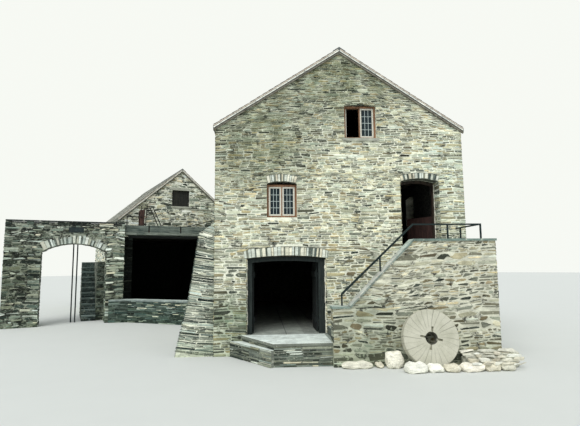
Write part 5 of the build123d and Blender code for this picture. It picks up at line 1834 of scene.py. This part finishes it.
@dataclass
class Buttress:
    """Raking buttress of thin slates at the facade's left corner."""

    front: float = 0.06
    back: float = 1.5
    line: tuple[Point, ...] = ((-0.96, 0.0), (0.0, 0.0), (0.0, 3.34), (-0.39, 3.08), (-0.64, 1.38))

    def build(self) -> None:
        """Lay the front, the back and the sloping side."""
        mason = Mason(41)
        foot = (mill(0, 0, 0.001), -UP)
        side = [self.line[0], *self.line[:1:-1]]
        (x0, z0), (x1, z1) = side[-2:]
        top = Vector((x1 - x0, 0, z1 - z0)).normalized()
        crest = (mill(x1, 0, z1), Vector((-top.z, 0, top.x)))
        mason.lay(Patch(mill(0, self.front), EAST, self.line, wrap=LEFT_END), RAKED, [foot, crest])
        mason.lay(Patch(mill(0, self.back), -EAST, mirrored(self.line), wrap=RIGHT_END), BEDDED)
        for (x0, z0), (x1, z1) in zip(side, side[1:]):
            slope = Vector((x1 - x0, 0, z1 - z0))
            outline = oblong(self.back - self.front, slope.length)
            patch = Patch(mill(x0, self.back, z0), -NORTH, outline, up=slope.normalized())
            mason.lay(patch, THIN, [foot])
        grey = RubbleStone("buttress_stone", stops=(
            (0.0, (0.006, 0.013, 0.011)), (0.26, (0.030, 0.046, 0.039)), (0.48, (0.090, 0.115, 0.097)),
            (0.73, (0.20, 0.24, 0.20)), (1.0, (0.62, 0.70, 0.61)),
        ), lichen=(0.36, 0.42, 0.35), warm=0.5)
        mason.piece("buttress_stones", grey, "rubble_stone")


@dataclass
class Aqueduct:
    """Arched wall that carries the water, with its coping and the steps behind it."""

    length: float = 4.19
    thick: float = 0.90
    top: float = 3.96
    arch: Void = Void(-2.99, -0.66, 0.0, 2.80, 0.33, 0.34, 0.06)
    slots: tuple[Point, ...] = ((3.99, 0.48), (3.27, 0.26), (2.76, 0.30), (1.29, 0.32), (0.44, 0.33))
    slot_deep: float = 0.095
    end_top: float = 3.53
    steps: int = 11
    rise: float = 0.22
    going: float = 0.25
    tread: float = 0.052
    steps_left: float = -1.48
    steps_wide: float = 0.54
    steps_front: float = 1.0
    steps_end: float = 3.75
    cheek_at: Point = (-0.94, 1.07)
    cheek_wide: float = 0.84
    cheek_top: float = 2.42
    back_wide: float = 1.193
    back_top: float = 2.366
    plaque_low: Triple = (-2.07, -0.028, 3.56)
    plaque_high: Triple = (-1.53, 0.01, 3.77)

    def build(self) -> None:
        """Lay both faces, the ends and the jambs, and dress the slabs."""
        mason = Mason(51)
        arch = self.arch
        holes = [Void(-s, -s + w, self.top - self.slot_deep, self.top) for s, w in self.slots]
        outline = oblong(0, self.top, 0, -self.length)
        front = Patch(line(0, 0), ALONG, outline, [arch, *holes])
        mason.lay(front, ROUGH)
        turned = replace(arch, left=-arch.right, right=-arch.left, ring=0.0, seat=0.0)
        mason.lay(Patch(line(0, self.thick), -ALONG, mirrored(outline), [turned]), ROUGH)
        for s, start, way, top in (
            (0, 0, BACK, self.end_top), (-self.length, self.thick, -BACK, self.end_top),
            (arch.left, 0, BACK, arch.spring), (arch.right, self.thick, -BACK, arch.spring),
        ):
            mason.wall(ROUGH, line(s, start), way, self.thick, top)
        # Darker stops than the mill's: the stone's own colour and painted shade of trees over the aqueduct
        grey = RubbleStone("aqueduct_stone", stops=(
            (0.0, (0.005, 0.010, 0.008)), (0.25, (0.030, 0.046, 0.037)), (0.48, (0.120, 0.158, 0.124)),
            (0.74, (0.34, 0.40, 0.325)), (1.0, (0.95, 1.0, 0.90)),
        ), lichen=(0.56, 0.61, 0.53), warm=0.5, spots=LINE_SPOTS)
        mason.piece("aqueduct_stones", grey, "rubble_stone")
        rings = Mason(52)
        rings.ring(front, self.arch, Voussoirs((0.065, 0.14), proud=0.016, ragged=0.40))
        voussoir = RubbleStone("aqueduct_voussoir", stops=(
            (0.0, (0.05, 0.065, 0.055)), (0.40, (0.25, 0.285, 0.245)), (0.75, (0.52, 0.57, 0.51)),
            (1.0, (0.80, 0.84, 0.77)),
        ), warm=0.35)
        rings.piece("aqueduct_arch_stones", voussoir, "dressed_stone")
        # Darker mortar than the mill's: partly painted shade of trees over the aqueduct
        dark = LimeMortar("dark_mortar", pale=(0.36, 0.39, 0.315), raked=0.50, spots=LINE_SPOTS)
        dress(dark, "aqueduct_wall", "aqueduct_arch", "rear_step_wall")
        coping = SlateSlab(
            "dark_coping", top=(0.060, 0.085, 0.075), edge=(0.020, 0.032, 0.030), turn=LINE_TURN, length=0.95
        )
        tread = SlateSlab(
            "rear_slate", top=(0.26, 0.33, 0.30), edge=(0.16, 0.22, 0.20), turn=LINE_TURN, damp=0.0
        )
        dress(coping, "aqueduct_coping")
        dress(tread, "rear_steps")
        dress(Ironwork("black_post", paint_colour=(0.008, 0.014, 0.014)), "rear_step_posts")
        self.cheek()
        self.plaque()

    def cheek(self) -> None:
        """Stones of the wall beside the rear steps, of their side and of their risers, dark with painted
        shade.
        """
        mason = Mason(53)
        mason.wall(ROUGH, line(*self.cheek_at), ALONG, self.cheek_wide, self.cheek_top, wrap=NO_END)
        run = self.steps * self.going
        side = [(0, 0), (-run, 0), (-run, self.steps * self.rise)]
        for i in range(self.steps - 1, -1, -1):
            side += [(-i * self.going, (i + 1) * self.rise), (-i * self.going, i * self.rise)]
        left, front = self.steps_left, self.steps_front
        mason.lay(Patch(line(left, front), -BACK, side[:-1], wrap=NO_END), BEDDED)
        wide = self.back_wide
        mason.wall(ROUGH, line(left + wide, self.steps_end), -ALONG, wide, self.back_top, wrap=NO_END)
        # Dark stones beside the steps: painted shade behind the arch
        dark = RubbleStone("shaded_rear_stone", stops=(
            (0.0, (0.010, 0.016, 0.014)), (0.4, (0.06, 0.08, 0.065)), (1.0, (0.30, 0.34, 0.28)),
        ), warm=0.5, spots=LINE_SPOTS)
        mason.piece("rear_step_stones", dark, "rubble_stone")
        risers = Mason(54)
        for i in range(self.steps):
            low, high = i * self.rise + 0.004, (i + 1) * self.rise - self.tread
            origin = line(left, front + i * self.going)
            risers.wall(BEDDED, origin, ALONG, self.steps_wide, high, low, wrap=NO_END)
        # Near-black risers under lighter treads: painted shade
        black = RubbleStone("shaded_riser_stone", stops=(
            (0.0, (0.004, 0.007, 0.007)), (0.6, (0.013, 0.022, 0.021)), (1.0, (0.05, 0.07, 0.065)),
        ), warm=0.3)
        risers.piece("rear_riser_stones", black, "rubble_stone")

    def plaque(self) -> None:
        """Bare slate plaque over the arch."""
        bm = bmesh.new()
        box_at(bm, self.plaque_low, self.plaque_high, line, 0.006)
        dark = (0.020, 0.040, 0.042)
        bare = SlateSlab("plaque_slate", dark, dark, LINE_TURN, damp=0.0, lichen=(0.05, 0.07, 0.07))
        keep(bm, "bare_plaque", bare)


@dataclass
class WaterWorks:
    """Launder, sluice and low pit wall."""

    launder_front: float = 0.12
    bed: float = 3.53
    top: float = 3.92
    far: float = 4.83
    rail: float = 0.10
    rail_short: float = 0.45
    side_short: float = 0.35
    pit_left: Point = (-4.84, 7.05)
    pit_corner: Point = (-4.11, 7.12)
    pit_right: Point = (0.0, 5.16)
    pit_top: float = 0.835
    pit_thick: float = 0.40

    def build(self) -> None:
        """Board the launder, dress the sluice and lay the pit wall."""
        along = {"grain": Grain.X, "turn": LINE_TURN}
        grey = Timber("launder_boards", (0.255, 0.295, 0.255), (0.010, 0.026, 0.024), **along)
        pale = Timber("launder_rail", (0.32, 0.36, 0.31), (0.10, 0.12, 0.10), **along)
        y, bed = self.launder_front, self.bed
        for name, finish, right, proud, foot, top in (
            ("launder_bottom_rail", pale, self.far - self.rail_short, 0.014, bed + 0.002, bed + self.rail),
            (
                "launder_side_board", grey, self.far - self.side_short, 0.006, bed + self.rail + 0.008,
                self.top - 0.004,
            ),
        ):
            bm = bmesh.new()
            box_at(bm, (0.02, y - proud, foot), (right, y + 0.01, top), line, 0.004)
            keep(bm, name, finish)
        gate = Timber("wet_board", (0.05, 0.045, 0.035), (0.015, 0.015, 0.012), turn=LINE_TURN)
        post = Timber("rusty_post", (0.085, 0.042, 0.031), (0.016, 0.010, 0.009), turn=LINE_TURN)
        rod = Timber("grey_rod", (0.045, 0.055, 0.050), (0.010, 0.014, 0.013), **along)
        iron = Ironwork("wet_iron", paint_colour=(0.008, 0.010, 0.009), spread=0.56)
        for finish, *nodes in (
            (grey, "launder", "launder_spout"), (gate, "sluice_gate"), (post, "sluice_frame"),
            (rod, "control_rod"), (iron, "launder_straps", "hoist_frames"),
        ):
            dress(finish, *nodes)
        self.pit()

    def pit(self) -> None:
        """Low wall and coping in front of the wheel pit."""
        mason = Mason(61)
        left, corner, end = (mill(*p) for p in (self.pit_left, self.pit_corner, self.pit_right))
        run, short, top = end - corner, corner - left, self.pit_top
        along = run.normalized()
        mason.wall(LAID_SLABS, corner, along, run.length, top, wrap=NO_END)
        rear = corner - along.cross(UP) * self.pit_thick + along * run.length
        mason.wall(BEDDED, rear, -along, run.length, top, wrap=NO_END)
        mason.wall(BEDDED, left, short.normalized(), short.length, top)
        stone = RubbleStone("pit_stone", stops=(
            (0.0, (0.004, 0.009, 0.007)), (0.42, (0.028, 0.054, 0.045)), (0.72, (0.100, 0.165, 0.138)),
            (0.88, (0.36, 0.43, 0.36)), (1.0, (0.80, 0.84, 0.72)),
        ), lichen=(0.26, 0.31, 0.25), warm=0.6)
        mason.piece("pit_wall_stones", stone, "rubble_stone")
        dress(LimeMortar("pit_mortar", pale=(0.12, 0.155, 0.13)), "pit_wall")
        dress(SlateSlab("pit_slate", (0.52, 0.60, 0.56), (0.36, 0.44, 0.41), damp=0.0), "pit_coping")


@dataclass
class Wing:
    """Lower gabled wing behind the launder, whose sides lean left of its gable's normal."""

    left: float = -0.10
    right: float = 5.16
    front: float = 1.07
    back: float = 9.07
    eaves: float = 4.27
    apex: float = 6.57
    slate: float = 0.095
    overhang: float = 0.10
    beam_foot: float = 3.45
    skew: float = math.radians(4.0)
    voids: tuple[Void, ...] = (
        Void(0.25, 4.76, 3.45, 3.75), Void(2.11, 2.90, 4.93, 5.68), Void(2.00, 3.01, 5.68, 5.80),
        Void(2.05, 2.96, 4.855, 4.93), Void(2.96, 4.391, 4.80, 4.845),
    )
    piers_at: tuple[Point, ...] = ((-0.10, 0.45), (4.56, 5.14))
    # Boxes whose walls get painted shade: the wing's inside and the mouth of the wheel opening
    inside: tuple[Triple, Triple] = ((0.38, 0.48, -0.1), (4.68, 7.52, 6.4))
    mouth: tuple[Triple, Triple] = ((-0.3, -0.1, -0.1), (5.4, 0.7, 3.46))

    def at(self, s: float, back: float, z: float = 0.0) -> Vector:
        """Point that keeps its place between the leaning sides."""
        return line(s - math.tan(self.skew) * (back - self.front), back, z)

    def gable(self, foot: float) -> list[Point]:
        """Outline of a gable from a height up."""
        middle = (self.left + self.right) / 2
        return [
            (self.left, foot), (self.right, foot), (self.right, self.eaves), (middle, self.apex),
            (self.left, self.eaves),
        ]

    def build(self) -> None:
        """Lay the walls, the roof and its verges."""
        mason = Mason(71)
        gable = self.gable(self.beam_foot)
        mason.lay(Patch(line(0, self.front), ALONG, gable, self.voids, wrap=LEFT_END), ROUGH)
        rear = (self.at(0, self.back) - self.at(0, self.front)).normalized()
        deep = (self.back - self.front) / math.cos(self.skew)
        mason.wall(ROUGH, self.at(self.left, self.back), -rear, deep, self.eaves)
        mason.wall(ROUGH, self.at(self.right, self.front), rear, deep, self.eaves, wrap=RIGHT_END)
        mason.lay(Patch(self.at(0, self.back), -ALONG, mirrored(self.gable(0.0))), ROUGH)
        pale = RubbleStone("wing_stone", stops=(
            (0.0, (0.008, 0.014, 0.011)), (0.20, (0.055, 0.068, 0.052)), (0.40, (0.25, 0.28, 0.215)),
            (0.68, (0.62, 0.655, 0.53)), (1.0, (1.0, 1.0, 0.92)),
        ), warm=0.7, spots=WING_SPOTS)
        mason.piece("wing_stones", pale, "rubble_stone")
        self.piers()
        centre = (*line(0, self.front),)
        shaded_rooms = (
            ShadedRoom(centre, *self.inside, LINE_TURN, math.tan(self.skew)), ShadedRoom(centre, *self.mouth, LINE_TURN)
        )
        # Near-black inside colour: painted shade in the wing and the wheel opening
        mortar = LimeMortar(
            "wing_mortar", pale=(0.82, 0.84, 0.71), raked=0.45, inside=(0.012, 0.014, 0.012), shaded_rooms=shaded_rooms
        )
        dress(mortar, "wing_front_wall", "wing_side_walls", "wing_back_wall")
        along = {"grain": Grain.X, "turn": LINE_TURN}
        dress(Timber("wing_beam", (0.022, 0.026, 0.024), (0.006, 0.008, 0.008), **along), "wing_beam")
        boards = Timber(
            "loft_boards", (0.05, 0.042, 0.03), (0.015, 0.012, 0.01), board=0.18, across=1, **along
        )
        dress(boards, "wing_loft_floor")
        self.roof(rear)

    def piers(self) -> None:
        """Black stones of the piers beside the wheel opening, dark with painted shade."""
        mason = Mason(72)
        for a, b in self.piers_at:
            mason.wall(ROUGH, line(0, self.front), ALONG, b, self.beam_foot, left=a, wrap=NO_END)
        # Near-black stones: painted shade of the wheel opening
        black = RubbleStone("shaded_pier_stone", stops=(
            (0.0, (0.003, 0.005, 0.005)), (0.8, (0.009, 0.014, 0.013)), (1.0, (0.05, 0.06, 0.052)),
        ), lichen=(0.02, 0.03, 0.028), warm=0.3)
        mason.piece("wing_pier_stones", black, "rubble_stone")

    def slope(self, foot: Vector, along: Vector, gable: Vector, length: float) -> Patch:
        """Patch on a roof slope whose gable edge isn't square to its eaves.

        Args:
            foot: Corner at the eaves.
            along: Direction of the eaves.
            gable: Direction up the gable's edge.
            length: Metres from the eaves to the ridge, up the gable's edge.

        Returns:
            The patch.
        """
        lean = gable.dot(along)
        up = (gable - along * lean).normalized()
        reach = (self.back - self.front + 2 * self.overhang) / math.cos(self.skew)
        low, high = WING_SLATES.bare_foot / length, 1.0 - WING_SLATES.bare_top / length
        rise = gable.dot(up) * length
        shift = lean * length
        outline = [
            (start + shift * share, rise * share)
            for start, share in ((0, low), (reach, low), (reach, high), (0, high))
        ]
        return Patch(foot, along, outline, up=up, wrap=NO_END)

    def roof(self, rear: Vector) -> None:
        """Slates and verge slips.

        Args:
            rear: Direction of the wing's sides.
        """
        run = (self.right - self.left) / 2
        slope = (self.apex - self.eaves) / run
        reach = run + self.overhang
        full = math.hypot(reach, reach * slope)
        foot = self.eaves - self.overhang * slope
        y0, y1 = self.front - self.overhang, self.back + self.overhang
        left, right = self.left - self.overhang, self.right + self.overhang
        slates = Mason(73)
        deck = foot + self.slate
        for corner, along, inward in (
            (self.at(left, y1, deck), -rear, ALONG), (self.at(right, y0, deck), rear, -ALONG)
        ):
            up = (inward + UP * slope).normalized()
            slates.slates(self.slope(corner, along, up, full), WING_SLATES)
        wall = (mill(0.0, 0.0), EAST)
        behind = mill(0, MainMill.depth).y
        slates.cut([f for f in slates.bm.faces if f.calc_center_median().y < behind], [wall])
        grey = RoofSlate("wing_slate", pale=(0.40, 0.40, 0.34), dark=(0.17, 0.18, 0.15), moss_from=4.9)
        slates.piece("wing_slates", grey, "slate")
        dress(grey, "wing_roof_left", "wing_roof_right")
        slips = Mason(74)
        gable_verge(slips, self.at(left, y0, foot), ALONG, reach, slope, self.slate)
        slips.cut(list(slips.bm.faces), [wall])
        gable_verge(slips, self.at(right, y1, foot), -ALONG, reach, slope, self.slate)
        slips.piece("wing_verge_slips", VERGE_SLIP, "dressed_stone")


@dataclass
class Studio:
    """Floor, soft light and the camera at the photograph's angle."""

    eye: Triple = (1.11, -11.47, 2.29)
    lens: float = 27.70
    pitch: float = 6.41
    yaw: float = 4.09
    roll: float = 0.52
    floor_radius: float = 90.0
    sky: Colour = (0.92, 0.97, 1.0)
    sky_strength: float = 0.62
    backdrop: Colour = (0.93, 0.95, 0.90)

    def build(self) -> None:
        """Set the stage."""
        bm = bmesh.new()
        bmesh.ops.create_circle(bm, cap_ends=True, radius=self.floor_radius, segments=96)
        mesh = bpy.data.meshes.new("studio_floor")
        bm.to_mesh(mesh)
        bm.free()
        mesh.materials.append(Plain("studio_floor").material())
        floor = bpy.data.objects.new("studio_floor", mesh)
        bpy.context.scene.collection.objects.link(floor)
        self.camera()
        self.lights()

    def camera(self) -> None:
        """Camera fitted to the photograph."""
        yaw, pitch, roll = (math.radians(a) for a in (self.yaw, self.pitch, self.roll))
        flat = math.cos(pitch)
        forward = Vector((math.sin(yaw) * flat, math.cos(yaw) * flat, math.sin(pitch)))
        level = Vector((math.cos(yaw), -math.sin(yaw), 0.0))
        above = level.cross(forward)
        right = level * math.cos(roll) - above * math.sin(roll)
        top = level * math.sin(roll) + above * math.cos(roll)
        turn = Matrix((right, top, -forward)).transposed().to_4x4()
        data = bpy.data.cameras.new("camera")
        data.lens = self.lens
        data.sensor_width = 36.0
        data.clip_end = 300.0
        camera = bpy.data.objects.new("camera", data)
        camera.matrix_world = Matrix.Translation(mill(*self.eye)) @ turn
        bpy.context.scene.collection.objects.link(camera)
        bpy.context.scene.camera = camera

    def lights(self) -> None:
        """Soft high light from the front left, over an even sky."""
        for name, energy, angle, tilt, turn in (("key", 2.1, 40, 42, -28), ("fill", 0.5, 90, 60, 60)):
            data = bpy.data.lights.new(name, "SUN")
            data.energy = energy
            data.angle = math.radians(angle)
            lamp = bpy.data.objects.new(name, data)
            lamp.rotation_euler = (math.radians(tilt), 0.0, math.radians(turn))
            bpy.context.scene.collection.objects.link(lamp)
        world = bpy.data.worlds.new("sky")
        world.use_nodes = True
        tree = world.node_tree
        tree.nodes.clear()
        kinds = ("LightPath", "Math", "Math", "Background", "Background", "MixShader", "OutputWorld")
        path, seen, gloss, even, shown, both, out = (tree.nodes.new("ShaderNode" + kind) for kind in kinds)
        for maximum in (seen, gloss):
            maximum.operation = "MAXIMUM"
        for sky, colour, strength in ((even, self.sky, self.sky_strength), (shown, self.backdrop, 1.0)):
            sky.inputs["Color"].default_value = (*colour, 1.0)
            sky.inputs["Strength"].default_value = strength
        for source, output, target, socket in (
            (path, "Is Camera Ray", seen, 0), (path, "Is Transmission Ray", seen, 1), (seen, 0, gloss, 0),
            (path, "Is Glossy Ray", gloss, 1), (gloss, 0, both, 0), (even, 0, both, 1),
            (shown, 0, both, 2), (both, 0, out, "Surface"),
        ):
            tree.links.new(source.outputs[output], target.inputs[socket])
        bpy.context.scene.world = world


def main() -> None:
    """Build every sub-assembly in order."""
    logging.basicConfig(level=logging.INFO, format="%(name)s: %(message)s")
    bpy.context.scene.view_settings.view_transform = "Standard"
    Studio().build()
    mill_block = MainMill()
    mill_block.build()
    Joinery().build(mill_block)
    StairBlock().build()
    Buttress().build()
    Aqueduct().build()
    WaterWorks().build()
    Wing().build()
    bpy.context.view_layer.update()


if __name__ == "__main__":
    main()
